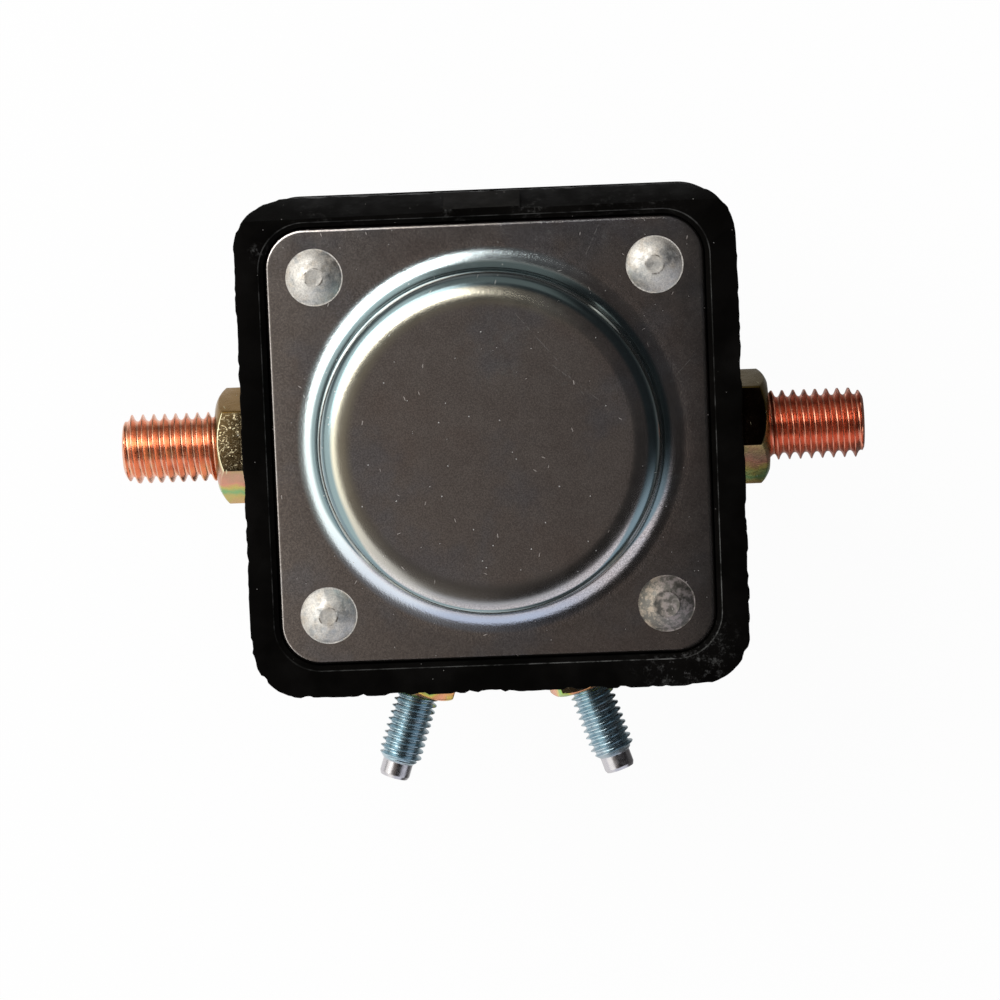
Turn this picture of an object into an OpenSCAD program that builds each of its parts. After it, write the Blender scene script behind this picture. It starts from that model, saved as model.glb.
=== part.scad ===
// Four-terminal starter solenoid with a square moulded housing.
// The part stands on its mounting bracket: +Z runs from the bracket to the front cover,
// X runs along the two large terminals, and the two small terminals point towards -Y.
// The origin is the middle of the two mounting holes, on the mounting face.

/* [Housing] */
// Width of the square moulded housing
body_w = 56; // [54:0.5:60]
// Depth of the housing, from its rear face to the front rim
body_h = 24.6; // [24:0.2:30]
// Radius of the housing's outer corners
body_corner_r = 5.8; // [4:0.1:8]
// Thickness of the housing's rear floor
body_floor_t = 3; // [2.4:0.1:4]
// How much narrower the contact chamber is than the boss of the cover
chamber_step = 0.4; // [0:0.1:1.2]
// Width of the bevel round the inner edge of the rim
rim_chamfer = 0.5; // [0.2:0.05:0.8]
// How far the flat bevel along the top edge reaches down the front face
top_bevel_w = 2.1; // [1:0.1:2.4]
// How far the flat bevel along the top edge runs back
top_bevel_d = 5; // [3:0.1:8]
// Width of the raised gate pad on the top bevel
gate_pad_w = 8.5; // [5:0.1:12]
// Height of the gate pad above the bevel
gate_pad_t = 0.25; // [0.1:0.05:0.4]

/* [Cover] */
// Width of the square cover plate
plate_w = 48.7; // [47:0.1:50]
// Radius of the cover plate's corners
plate_corner_r = 4.5; // [3:0.1:6]
// Sheet thickness of the cover
plate_t = 1.2; // [0.8:0.1:1.4]
// Gap round the cover plate inside the rim
plate_gap = 0.3; // [0.15:0.05:0.5]
// How far the cover plate lies below the rim
plate_recess = 0.9; // [0.4:0.1:1.5]
// Width of flat sheet between the cover boss's wall and the plate's edge
boss_margin = 4.95; // [4.65:0.05:5.6]
// Height of the cover boss above the plate
boss_h = 6.2; // [5.6:0.1:8]
// Radius where the boss meets the plate
boss_foot_r = 1.2; // [0.6:0.1:1.6]
// Radius round the top of the boss
boss_end_r = 2; // [1.5:0.1:3]
// Thickness of the cover gasket
gasket_t = 0.8; // [0.5:0.1:1.2]

/* [Rivets] */
// Distance of a rivet's centre from the edges of the cover plate
rivet_inset = 5.35; // [5.1:0.05:5.8]
// Diameter of a rivet's shank
rivet_d = 4; // [3.2:0.1:4.4]
// Diameter of a rivet's domed head
rivet_head_d = 6.3; // [5.6:0.1:7]
// Height of a rivet's domed head
rivet_head_h = 1.5; // [1:0.1:2]
// Diameter of the dimple in the head
rivet_dimple_d = 2; // [1:0.1:2.4]
// Depth of the dimple in the head
rivet_dimple_depth = 0.2; // [0.1:0.05:0.4]
// Diameter of the formed foot behind the flange
rivet_foot_d = 6.4; // [5.6:0.1:7]
// Height of the formed foot
rivet_foot_h = 1.2; // [0.8:0.1:1.6]

/* [Large terminals] */
// Diameter of the copper studs, over the thread
stud_d = 7.9; // [7.6:0.1:8.2]
// Diameter of the copper studs inside the nut and the wall, at the thread's pitch line
stud_core_d = 7.2; // [6.6:0.1:7.4]
// Distance of the stud axis below the face of the cover plate
stud_depth = 8; // [7.6:0.1:9]
// Length of thread that stands out beyond the nut
stud_free_l = 10.6; // [8:0.1:16]
// Chamfer at the stud's tip
stud_chamfer = 0.6; // [0.3:0.1:1]
// Width of the stud's block-shaped head
head_w = 13; // [10:0.5:14]
// Distance between the two heads inside the chamber
head_gap = 16; // [14:0.5:18]
// Height of the contact face above the stud axis
head_face_h = 3.4; // [3:0.1:3.6]
// Depth of the head behind the stud axis
head_back_h = 4.6; // [4:0.1:6]
// Depth of the flat that each head seats on, below the chamber's wall
head_seat_depth = 1; // [0.6:0.1:2]
// Width across flats of the large nuts
nut_af = 11.7; // [11:0.1:13]
// Thickness of the large nuts
nut_t = 3.8; // [3:0.1:6]

/* [Small terminals] */
// Diameter of the small studs, over the thread
control_d = 5; // [4.8:0.1:5.4]
// Diameter of the small studs inside the nut and the wall, at the thread's pitch line
control_core_d = 4.5; // [4:0.1:4.6]
// Angle of each small stud from the straight-down direction
control_angle = 18.5; // [16:0.5:26]
// How far the small studs lie behind the large ones
control_drop = 2; // [1.8:0.1:3]
// Depth of the small nuts' seats below the flat of the housing's side
control_seat_depth = 0.7; // [0.2:0.1:1.5]
// Depth of the seats of the small heads, below the chamber's wall
control_head_depth = 0.6; // [0.5:0.1:1.4]
// Width across flats of the small nuts
control_nut_af = 8; // [7:0.1:9]
// Thickness of the small nuts
control_nut_t = 3.2; // [2.4:0.1:4]
// Length of thread and dog point beyond the small nut
control_free_l = 10.8; // [8:0.1:14]
// Diameter of the unthreaded dog point
control_dog_d = 3.5; // [2.5:0.1:3.8]
// Length of the unthreaded dog point
control_dog_l = 1.85; // [1:0.05:3]
// Diameter of the small heads inside the chamber
control_head_d = 7.2; // [6:0.1:7.4]
// Thickness of the small heads
control_head_t = 2; // [1.4:0.1:2.4]

/* [Contact disc] */
// Diameter of the copper contact disc
disc_d = 28; // [26:0.5:30]
// Thickness of the contact disc
disc_t = 1.6; // [1.2:0.1:2]
// Gap between the disc and the stud heads at rest
disc_gap = 2.6; // [2.55:0.05:3]
// Diameter of the insulating washers on both sides of the disc
insulator_d = 11; // [9:0.5:14]
// Thickness of the lower insulator's flange
lower_insulator_t = 1; // [0.8:0.1:1.4]
// Thickness of the upper insulating washer
upper_insulator_t = 0.8; // [0.6:0.1:1]
// Wall of the insulating collar in the disc's hole
collar_wall = 1.1; // [0.8:0.1:1.4]

/* [Ignition contact] */
// Thickness of the ignition contact strip
strip_t = 0.6; // [0.4:0.1:0.8]
// Width of the ignition contact strip
strip_w = 5.4; // [5.4:0.1:7]
// Reach of the strip: distance of its inner end from the middle of the part
strip_inner_r = 11; // [10:0.1:12]
// Gap that the strip leaves to the closed disc
strip_gap = 0.1; // [0.05:0.05:0.3]

/* [Plunger] */
// Diameter of the plunger
plunger_d = 12; // [10:0.1:12.4]
// Length of the plunger
plunger_l = 20.7; // [18:0.1:21]
// Full travel of the plunger
travel = 3; // [2.8:0.05:3]
// Travel of the contact disc, before the last part of the plunger's travel
disc_travel = 2.5; // [2.3:0.05:2.5]
// Non-magnetic gap that is left when the plunger is pulled in
pole_gap = 0.3; // [0.1:0.05:0.5]
// Diameter of the upper part of the rod, through the disc
rod_d = 4; // [3:0.1:4.2]
// Diameter of the lower part of the rod
rod_shank_d = 6; // [5.4:0.1:7]
// Diameter of the rod's spigot in the plunger
rod_spigot_d = 5; // [4:0.1:5.6]
// Length of the rod's spigot in the plunger
rod_spigot_l = 8; // [5:0.5:9]
// Gap between the rod's end and the inside of the cover at rest
rod_end_gap = 0.3; // [0.1:0.05:0.5]
// Thickness of the retaining clip
clip_t = 0.7; // [0.5:0.05:0.8]
// Outer diameter of the retaining clip
clip_d = 8.6; // [7:0.1:10]
// Depth of the clip's groove in the rod
clip_groove = 0.5; // [0.3:0.05:0.6]
// Length of rod beyond the clip
clip_end = 0.6; // [0.4:0.05:0.8]

/* [Springs] */
// Wire diameter of the return spring
return_wire_d = 0.7; // [0.5:0.05:0.9]
// Mean radius of the return spring
return_spring_r = 3.3; // [2.8:0.1:3.5]
// Turns of the return spring
return_turns = 6.5; // [4:0.5:7]
// Depth of the spring's pocket in the plunger
plunger_pocket = 5; // [3:0.5:7]
// Depth of the spring's pocket in the fixed core
core_pocket = 3; // [2:0.5:5]
// Room round the return spring in its pockets
pocket_gap = 0.35; // [0.2:0.05:0.5]
// Wire diameter of the contact spring
contact_wire_d = 0.6; // [0.4:0.05:0.65]
// Radius of the contact spring at the washer
contact_spring_r = 4.7; // [4.2:0.1:5]
// Radius of the contact spring under the clip
contact_spring_top_r = 3; // [2.6:0.1:3.4]
// Turns of the contact spring
contact_turns = 2.25; // [1.5:0.25:2.25]

/* [Coil] */
// Width of the coil can's flange outside its round wall
can_margin = 4.85; // [4.6:0.05:5.6]
// Height of the coil can, flange included
can_h = 32.4; // [31:0.2:38]
// Sheet thickness of the coil can
can_t = 1.4; // [1:0.1:1.6]
// Radius where the can meets its flange
can_foot_r = 1.5; // [0.8:0.1:2]
// Radius round the closed end of the can
can_end_r = 2.4; // [2:0.1:4]
// Thickness of the gasket between the can and the housing
flange_gasket_t = 0.8; // [0.5:0.1:1.2]
// Thickness of the pole plate in the mouth of the can
pole_plate_t = 2; // [1.5:0.1:3]
// Wall of the brass guide tube
tube_wall = 0.5; // [0.4:0.05:0.8]
// Length of guide tube inside the housing floor
tube_stand = 2.4; // [1:0.1:3]
// Wall of the bobbin's barrel
bobbin_wall = 0.8; // [0.6:0.1:1.4]
// Thickness of the bobbin's two flanges
bobbin_flange_t = 1; // [0.8:0.1:1.6]
// Room between the winding and the wall of the can
winding_room = 1.8; // [1.7:0.1:4]
// Diameter of the coil's lead wires
lead_d = 0.9; // [0.6:0.1:1.2]
// Height of the fixed core inside the can
core_h = 10.6; // [9:0.1:14]
// Diameter of the core's staked spigot
core_spigot_d = 8; // [6:0.1:9]

/* [Bracket] */
// Thickness of the mounting bracket
bracket_t = 2; // [1.6:0.1:3]
// Distance between the two mounting holes
bracket_pcd = 60; // [58:0.5:64]
// Diameter of the mounting holes
bracket_hole_d = 6.6; // [5.5:0.1:7]
// Radius of the bracket's two ears
ear_r = 6; // [5:0.1:7]
// Angle of the line through the two ears
bracket_angle = 45; // [40:1:50]
// Radius between an ear and the round middle of the bracket
ear_fillet_r = 8; // [4:0.5:10]

/* [Hidden] */
$fn = 96;

// Overrun of every cut, past the face that it leaves through
cut = 0.5;
// Radial clearance of a piece that is pressed or staked in its hole
tight = 0.02;
// Radial clearance of a shaft that slides in its guide
slide = 0.08;
// Radial clearance of a stud or a rivet in its moulded hole
loose = 0.1;
// Room between neighbouring pieces that are clamped but don't touch
clamp_gap = 0.2;

// Heights of the stack, from the mounting face up
can_z = bracket_t;
can_floor_z = can_z + can_t;
flange_z = can_z + can_h;
body_z = flange_z + flange_gasket_t;
rim_z = body_z + body_h;
plate_z = rim_z - plate_recess;
gasket_z = plate_z - plate_t - gasket_t;
stud_z = plate_z - stud_depth;
control_z = stud_z - control_drop;
contact_z = stud_z + head_face_h;
disc_z = contact_z + disc_gap;
chamber_z = body_z + body_floor_t;
ceiling_z = plate_z + boss_h - plate_t;

// Radii that follow the square of the cover plate
rivet_spacing = plate_w - 2 * rivet_inset;
boss_r = plate_w / 2 - boss_margin;
can_r = plate_w / 2 - can_margin;
chamber_r = boss_r - chamber_step;
head_seat_x = chamber_r + head_seat_depth;
control_inner_r = chamber_r + control_head_depth;

// Plunger group at rest
core_z = can_floor_z + core_h;
plunger_z = core_z + travel + pole_gap;
plunger_top_z = plunger_z + plunger_l;
rod_seat_z = disc_z - lower_insulator_t;
washer_z = disc_z + disc_t;
spring_seat_z = washer_z + upper_insulator_t;
rod_top_z = ceiling_z - rod_end_gap;
clip_z = rod_top_z - clip_end - clip_t;
collar_r = rod_d / 2 + slide + collar_wall;

// Coil group
tube_r = plunger_d / 2 + slide + tube_wall;
can_inner_r = can_r - can_t;
winding_r = can_inner_r - winding_room;
bobbin_z = can_floor_z + clamp_gap;
pole_plate_z = flange_z - pole_plate_t;
bobbin_h = pole_plate_z - clamp_gap - bobbin_z;
lead_r = lead_d / 2;
lead_path_r = control_inner_r - control_head_t - lead_r;
lead_start_z = bobbin_z + bobbin_h - 2 * bobbin_flange_t;
return_pocket_r = return_spring_r + return_wire_d / 2 + pocket_gap;

// Outline of the pocket that holds the cover plate
pocket_w = plate_w + 2 * plate_gap;
pocket_corner_r = plate_corner_r + plate_gap;
nut_face_x = body_w / 2 + nut_t;
control_seat_r = body_w / 2 - control_seat_depth;
control_face_r = control_seat_r + control_nut_t;
left_direction = 180;
right_direction = 0;
coil_direction = -90 - control_angle;
ignition_direction = -90 + control_angle;
ground_direction = 90;

// Facets of the wound wire
wire_sides = 6;
rings_per_turn = 8;

steel = [0.62, 0.62, 0.60];
black = [0.09, 0.085, 0.08];
copper = [0.82, 0.45, 0.30];
chromate = [0.72, 0.62, 0.36];
zinc = [0.60, 0.66, 0.72];
aluminium = [0.70, 0.70, 0.69];

// A square with rounded corners, centred on the origin
module rounded_square(w, r) {
    square([w, w - 2 * r], center = true);
    square([w - 2 * r, w], center = true);
    for (x = [-1, 1], y = [-1, 1])
        translate([x * (w / 2 - r), y * (w / 2 - r)])
            circle(r);
}

// A rounded square that grows by the same amount on every side as it rises
module rising_slab(w, r, grow, h) {
    flat = w - 2 * r;
    for (turn = [0, 90])
        rotate([90, 0, turn])
            translate([0, 0, -flat / 2])
                linear_extrude(flat)
                    polygon([[-w / 2, 0], [w / 2, 0], [w / 2 + grow, h], [-w / 2 - grow, h]]);
    for (x = [-1, 1], y = [-1, 1])
        translate([x * flat / 2, y * flat / 2, 0])
            cylinder(h, r, r + grow);
}

// Copies its children to the four rivet places
module at_rivets() {
    for (x = [-1, 1], y = [-1, 1])
        translate([x * rivet_spacing / 2, y * rivet_spacing / 2, 0])
            children();
}

// Turns +Z to point away from the middle of the part, at the height z.
// A local +Y direction then points up, and local +X runs sideways.
module outward(direction, z) {
    translate([0, 0, z])
        rotate([90, 0, 90 + direction])
            children();
}

// Half section of the solid that a drawn cup fills: a concave foot, a wall and a rounded end
module cup_section(wall_r, h, foot_r, end_r) {
    square([wall_r - end_r, h]);
    square([wall_r, h - end_r]);
    translate([wall_r - end_r, h - end_r])
        circle(end_r);
    difference() {
        square([wall_r + foot_r, foot_r]);
        translate([wall_r + foot_r, foot_r])
            circle(foot_r);
    }
}

// A square sheet with a round cup drawn out of it, pointing up.
// The sheet's upper face lies at zero, and its rivet holes are cut.
module drawn_sheet(t, wall_r, h, foot_r, end_r) {
    difference() {
        union() {
            rotate_extrude()
                difference() {
                    union() {
                        cup_section(wall_r, h, foot_r, end_r);
                        translate([0, -t])
                            square([wall_r + foot_r + t, t]);
                    }
                    translate([0, -t])
                        cup_section(wall_r - t, h, foot_r + t, end_r - t);
                }
            translate([0, 0, -t])
                linear_extrude(t)
                    difference() {
                        rounded_square(plate_w, plate_corner_r);
                        circle(wall_r + foot_r + t / 2);
                    }
        }
        at_rivets()
            translate([0, 0, -t - cut])
                cylinder(t + 2 * cut, d = rivet_d + 2 * loose);
    }
}

// A hexagonal nut with both rims turned off, standing on its face
module nut(af, t, bore_d) {
    corner_r = af / sqrt(3);
    flat_r = af / 2;
    turned = (corner_r - flat_r) * tan(30);
    difference() {
        intersection() {
            cylinder(t, r = corner_r, $fn = 6);
            rotate_extrude()
                polygon([[0, 0], [flat_r, 0], [corner_r, turned], [corner_r, t - turned],
                    [flat_r, t], [0, t]]);
        }
        translate([0, 0, -cut])
            cylinder(t + 2 * cut, d = bore_d);
    }
}

// A tube of small facets that follows the listed points; radial(i) gives the ring's own sideways
// direction, so that every ring stands square to a winding round the Z axis
module wire(points, angles, r) {
    last = len(points) - 1;
    corners = [for (i = [0:last], k = [0:wire_sides - 1])
        points[i] + r * cos(360 * k / wire_sides) * [cos(angles[i]), sin(angles[i]), 0]
            + [0, 0, r * sin(360 * k / wire_sides)]];
    around = [for (i = [0:last - 1], k = [0:wire_sides - 1])
        let (n = (k + 1) % wire_sides, a = i * wire_sides, b = a + wire_sides)
        each [[a + k, b + k, b + n], [a + k, b + n, a + n]]];
    first_cap = [for (k = [1:wire_sides - 2]) [0, k, k + 1]];
    end = last * wire_sides;
    last_cap = [for (k = [1:wire_sides - 2]) [end, end + k + 1, end + k]];
    polyhedron(corners, concat(around, first_cap, last_cap));
}

// Angles and points of a coil spring that rises from z0 to z1
function coil_angles(turns) = [for (i = [0:turns * rings_per_turn]) 360 * i / rings_per_turn];
function coil_points(r0, r1, z0, z1, turns) =
    [for (a = coil_angles(turns))
        let (share = a / (360 * turns), r = r0 + (r1 - r0) * share)
        [r * cos(a), r * sin(a), z0 + (z1 - z0) * share]];
// Least gap between turns, measured on the points of neighbouring turns
function least_gap(points, wire_d) =
    min([for (i = [0:len(points) - 1], j = [i + rings_per_turn / 2:1:len(points) - 1])
        norm(points[i] - points[j]) - wire_d]);

module mounting_bracket() {
    half = bracket_pcd / 2;
    // Centre of the round cut that blends an ear into the middle disc
    side = ear_r + ear_fillet_r;
    along = sqrt(pow(can_r + ear_fillet_r, 2) - pow(side, 2));
    color(steel)
        rotate([0, 0, bracket_angle])
            difference() {
                linear_extrude(bracket_t) {
                    circle(can_r);
                    square([bracket_pcd, 2 * ear_r], center = true);
                    for (x = [-1, 1])
                        translate([x * half, 0])
                            circle(ear_r);
                    for (x = [-1, 1])
                        difference() {
                            polygon([[0, 0], [x * along, -x * side], [x * along, x * side]]);
                            for (y = [-1, 1])
                                translate([x * along, y * side])
                                    circle(ear_fillet_r);
                        }
                }
                for (x = [-1, 1])
                    translate([x * half, 0, -cut])
                        cylinder(bracket_t + 2 * cut, d = bracket_hole_d);
                translate([0, 0, -cut])
                    cylinder(bracket_t + 2 * cut, d = core_spigot_d + 2 * tight);
            }
}

module coil_can() {
    color(steel)
        difference() {
            translate([0, 0, flange_z - can_t])
                mirror([0, 0, 1])
                    drawn_sheet(can_t, can_r, can_h - can_t, can_foot_r, can_end_r);
            translate([0, 0, can_z - cut])
                cylinder(can_t + 2 * cut, d = core_spigot_d + 2 * tight);
        }
}

module fixed_core() {
    color(steel)
        difference() {
            union() {
                translate([0, 0, can_floor_z])
                    cylinder(core_h, r = tube_r - tube_wall - tight);
                translate([0, 0, bracket_t / 4])
                    cylinder(can_floor_z - bracket_t / 4, d = core_spigot_d);
            }
            translate([0, 0, core_z - core_pocket])
                cylinder(core_pocket + cut, r = return_pocket_r);
        }
}

module guide_tube() {
    z = can_floor_z + clamp_gap;
    h = body_z + tube_stand - z;
    color([0.78, 0.64, 0.32])
        translate([0, 0, z])
            difference() {
                cylinder(h, r = tube_r);
                translate([0, 0, -cut])
                    cylinder(h + 2 * cut, r = tube_r - tube_wall);
            }
}

module bobbin() {
    // The flanges stay clear of the round inside the can's closed end
    flange_r = can_inner_r - can_end_r + can_t;
    barrel_r = tube_r + loose + bobbin_wall;
    color([0.88, 0.85, 0.76])
        translate([0, 0, bobbin_z])
            difference() {
                union() {
                    cylinder(bobbin_h, r = barrel_r);
                    cylinder(bobbin_flange_t, r = flange_r);
                    translate([0, 0, bobbin_h - bobbin_flange_t])
                        cylinder(bobbin_flange_t, r = flange_r);
                }
                translate([0, 0, -cut])
                    cylinder(bobbin_h + 2 * cut, r = tube_r + loose);
                for (direction = [coil_direction, ground_direction])
                    rotate([0, 0, direction])
                        translate([lead_path_r - lead_d, -lead_d, bobbin_h - bobbin_flange_t - cut])
                            cube([can_inner_r, 2 * lead_d, bobbin_flange_t + 2 * cut]);
            }
}

module coil_winding() {
    h = bobbin_h - 2 * bobbin_flange_t;
    color([0.62, 0.30, 0.16])
        translate([0, 0, bobbin_z + bobbin_flange_t])
            difference() {
                cylinder(h, r = winding_r);
                translate([0, 0, -cut])
                    cylinder(h + 2 * cut, r = tube_r + loose + bobbin_wall + tight);
            }
}

module pole_plate() {
    color(steel)
        translate([0, 0, pole_plate_z])
            difference() {
                cylinder(pole_plate_t, r = can_inner_r - loose);
                translate([0, 0, -cut])
                    cylinder(pole_plate_t + 2 * cut, r = tube_r + loose);
                rotate([0, 0, coil_direction])
                    translate([lead_path_r - lead_d, -lead_d, -cut])
                        cube([can_inner_r, 2 * lead_d, pole_plate_t + 2 * cut]);
            }
}

module flange_gasket() {
    color([0.20, 0.19, 0.18])
        translate([0, 0, flange_z])
            linear_extrude(flange_gasket_t)
                difference() {
                    rounded_square(plate_w, plate_corner_r);
                    circle(can_inner_r);
                    at_rivets()
                        circle(d = rivet_d + 2 * loose);
                }
}

// The flat bevel along the top edge, less the pad left by the mould's gate
module top_bevel() {
    slope = norm([top_bevel_w, top_bevel_d]);
    pad_across = gate_pad_t * slope / top_bevel_d;
    pad_back = gate_pad_t * slope / top_bevel_w;
    translate([0, body_w / 2, rim_z])
        rotate([90, 0, 90])
            difference() {
                linear_extrude(body_w + 2 * cut, center = true)
                    polygon([[-top_bevel_w, 0], [-top_bevel_w, cut], [cut, cut],
                        [cut, -top_bevel_d], [0, -top_bevel_d]]);
                linear_extrude(gate_pad_w, center = true)
                    polygon([[-top_bevel_w, 0], [-top_bevel_w + pad_across, 0],
                        [0, -top_bevel_d + pad_back], [0, -top_bevel_d]]);
            }
}

module housing() {
    control_clear_r = control_nut_af / sqrt(3) + 3 * clamp_gap;
    color(black)
        difference() {
            translate([0, 0, body_z])
                linear_extrude(body_h)
                    rounded_square(body_w, body_corner_r);
            // Pocket for the cover, with its bevelled mouth
            translate([0, 0, gasket_z])
                linear_extrude(rim_z - gasket_z + cut)
                    rounded_square(pocket_w, pocket_corner_r);
            translate([0, 0, rim_z - rim_chamfer])
                rising_slab(pocket_w, pocket_corner_r, rim_chamfer + cut, rim_chamfer + cut);
            top_bevel();
            // Contact chamber, and the hole in its floor for the guide tube
            translate([0, 0, chamber_z])
                cylinder(rim_z - chamber_z, r = chamber_r);
            translate([0, 0, body_z - cut])
                cylinder(body_floor_t + 2 * cut, r = tube_r + loose);
            at_rivets()
                translate([0, 0, body_z - cut])
                    cylinder(body_h, d = rivet_d + 2 * loose);
            // Large terminals: a slot that holds each head, and the hole for its stud
            for (direction = [left_direction, right_direction]) {
                rotate([0, 0, direction])
                    translate([0, -head_w / 2 - loose, stud_z - head_back_h - loose])
                        cube([head_seat_x, head_w + 2 * loose, rim_z]);
                outward(direction, stud_z)
                    cylinder(body_w / 2 + cut, d = stud_d + 2 * loose);
            }
            // Small terminals: hole, seat for the head and round recess for the nut
            for (direction = [coil_direction, ignition_direction])
                outward(direction, control_z) {
                    cylinder(body_w, d = control_d + 2 * loose);
                    cylinder(control_inner_r, d = control_head_d + 2 * loose);
                    translate([0, 0, control_seat_r])
                        cylinder(body_w / 2, r = control_clear_r);
                }
            // Slot that keeps the ignition contact from turning
            rotate([0, 0, ignition_direction])
                translate([0, -strip_w / 2 - loose, control_z - strip_w / 2 - loose])
                    cube([control_inner_r, strip_w + 2 * loose, rim_z - control_z]);
            // Way up for the coil's lead
            rotate([0, 0, coil_direction])
                translate([lead_path_r, 0, body_z - cut])
                    cylinder(body_floor_t + 2 * cut, d = lead_d + 2 * clamp_gap);
        }
}

module cover_gasket() {
    color([0.16, 0.15, 0.15])
        translate([0, 0, gasket_z])
            linear_extrude(gasket_t)
                difference() {
                    rounded_square(plate_w + plate_gap, plate_corner_r);
                    circle(chamber_r);
                    at_rivets()
                        circle(d = rivet_d + 2 * loose);
                }
}

module front_cover() {
    color(steel)
        translate([0, 0, plate_z])
            drawn_sheet(plate_t, boss_r, boss_h, boss_foot_r, boss_end_r);
}

// Four rivets that clamp cover, housing and coil can together
module corner_rivets() {
    head_r = rivet_head_d / 2;
    dome_r = (pow(head_r, 2) + pow(rivet_head_h, 2)) / (2 * rivet_head_h);
    foot_z = flange_z - can_t - rivet_foot_h;
    color(aluminium)
        at_rivets() {
            difference() {
                translate([0, 0, plate_z])
                    rotate_extrude()
                        intersection() {
                            translate([0, rivet_head_h - dome_r])
                                circle(dome_r);
                            square([head_r, rivet_head_h]);
                        }
                translate([0, 0, plate_z + rivet_head_h - rivet_dimple_depth])
                    cylinder(rivet_dimple_depth + cut, d = rivet_dimple_d);
            }
            translate([0, 0, foot_z])
                cylinder(plate_z - foot_z, d = rivet_d);
            translate([0, 0, foot_z])
                cylinder(rivet_foot_h, d = rivet_foot_d);
        }
}

// A copper stud with a block-shaped head, whose flat top is the fixed contact.
// The free thread stands at its full diameter, and the stretch in nut and wall at its core.
module terminal_stud(direction) {
    tip_x = nut_face_x + stud_free_l;
    root_x = head_seat_x - head_gap / 4;
    color(copper) {
        outward(direction, stud_z) {
            translate([0, 0, root_x])
                cylinder(tip_x - stud_chamfer - root_x, d = stud_core_d);
            translate([0, 0, nut_face_x])
                cylinder(stud_free_l - stud_chamfer, d = stud_d);
            translate([0, 0, tip_x - stud_chamfer])
                cylinder(stud_chamfer, d1 = stud_d, d2 = stud_d - 2 * stud_chamfer);
        }
        rotate([0, 0, direction])
            translate([head_gap / 2, -head_w / 2, stud_z - head_back_h])
                cube([head_seat_x - head_gap / 2, head_w, head_back_h + head_face_h]);
    }
}

module left_terminal_stud() {
    terminal_stud(left_direction);
}

module right_terminal_stud() {
    terminal_stud(right_direction);
}

module terminal_nuts() {
    color(chromate)
        for (direction = [left_direction, right_direction])
            outward(direction, stud_z)
                translate([0, 0, body_w / 2])
                    nut(nut_af, nut_t, stud_core_d + 2 * tight);
}

// A small stud with a round head inside the chamber and a dog point outside
module control_stud(direction, seat_r) {
    tip_r = control_face_r + control_free_l;
    neck = (control_d - control_dog_d) / 2;
    color(zinc)
        outward(direction, control_z) {
            translate([0, 0, seat_r - control_head_t])
                cylinder(control_head_t, d = control_head_d);
            translate([0, 0, seat_r - control_head_t])
                cylinder(control_face_r - seat_r + control_head_t + neck, d = control_core_d);
            translate([0, 0, control_face_r])
                cylinder(tip_r - control_dog_l - neck - control_face_r, d = control_d);
            translate([0, 0, tip_r - control_dog_l - neck])
                cylinder(neck, d1 = control_d, d2 = control_dog_d);
            translate([0, 0, tip_r - control_dog_l])
                cylinder(control_dog_l, d = control_dog_d);
        }
}

module coil_terminal_stud() {
    control_stud(coil_direction, control_inner_r);
}

module ignition_terminal_stud() {
    control_stud(ignition_direction, control_inner_r - strip_t);
}

module control_nuts() {
    color(chromate)
        for (direction = [coil_direction, ignition_direction])
            outward(direction, control_z)
                translate([0, 0, control_seat_r])
                    nut(control_nut_af, control_nut_t, control_core_d + 2 * tight);
}

// Bent strip under the ignition stud's head, whose tip the closed disc touches
module ignition_contact() {
    top_z = disc_z - disc_travel - strip_gap;
    leaf_z = control_z + control_head_d / 2 + clamp_gap;
    tip_h = top_z - leaf_z - strip_t;
    color(copper)
        difference() {
            rotate([0, 0, ignition_direction]) {
                translate([control_inner_r - strip_t, -strip_w / 2, control_z - strip_w / 2])
                    cube([strip_t, strip_w, leaf_z + strip_t - control_z + strip_w / 2]);
                translate([strip_inner_r, -strip_w / 2, leaf_z])
                    cube([control_inner_r - strip_inner_r, strip_w, strip_t]);
                translate([strip_inner_r + strip_w / 4, 0, leaf_z + strip_t])
                    cylinder(tip_h, strip_w / 4, strip_w / 6);
            }
            outward(ignition_direction, control_z)
                cylinder(body_w, d = control_core_d + 2 * tight);
        }
}

// Bare wire from the winding up to the inner face of a terminal, or to the pole plate
module lead(direction, top_z) {
    rotate([0, 0, direction]) {
        translate([winding_r, 0, lead_start_z])
            rotate([0, 90, 0])
                cylinder(lead_path_r - winding_r, r = lead_r);
        translate([lead_path_r, 0, lead_start_z])
            sphere(lead_r);
        translate([lead_path_r, 0, lead_start_z])
            cylinder(top_z - lead_start_z, r = lead_r);
    }
}

module coil_lead() {
    color(copper)
        lead(coil_direction, control_z + lead_d);
}

module ground_lead() {
    color(copper)
        lead(ground_direction, pole_plate_z);
}

module plunger() {
    color(steel)
        difference() {
            translate([0, 0, plunger_z])
                cylinder(plunger_l, d = plunger_d);
            translate([0, 0, plunger_z - cut])
                cylinder(plunger_pocket + cut, r = return_pocket_r);
            translate([0, 0, plunger_top_z - rod_spigot_l])
                cylinder(rod_spigot_l + cut, d = rod_spigot_d + 2 * tight);
        }
}

module plunger_rod() {
    color(zinc)
        difference() {
            union() {
                translate([0, 0, plunger_top_z - rod_spigot_l])
                    cylinder(rod_spigot_l, d = rod_spigot_d);
                translate([0, 0, plunger_top_z])
                    cylinder(rod_seat_z - plunger_top_z, d = rod_shank_d);
                translate([0, 0, rod_seat_z])
                    cylinder(rod_top_z - rod_seat_z, d = rod_d);
            }
            translate([0, 0, clip_z])
                difference() {
                    cylinder(clip_t, d = rod_d + 2 * cut);
                    cylinder(clip_t, d = rod_d - 2 * clip_groove);
                }
        }
}

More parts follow.
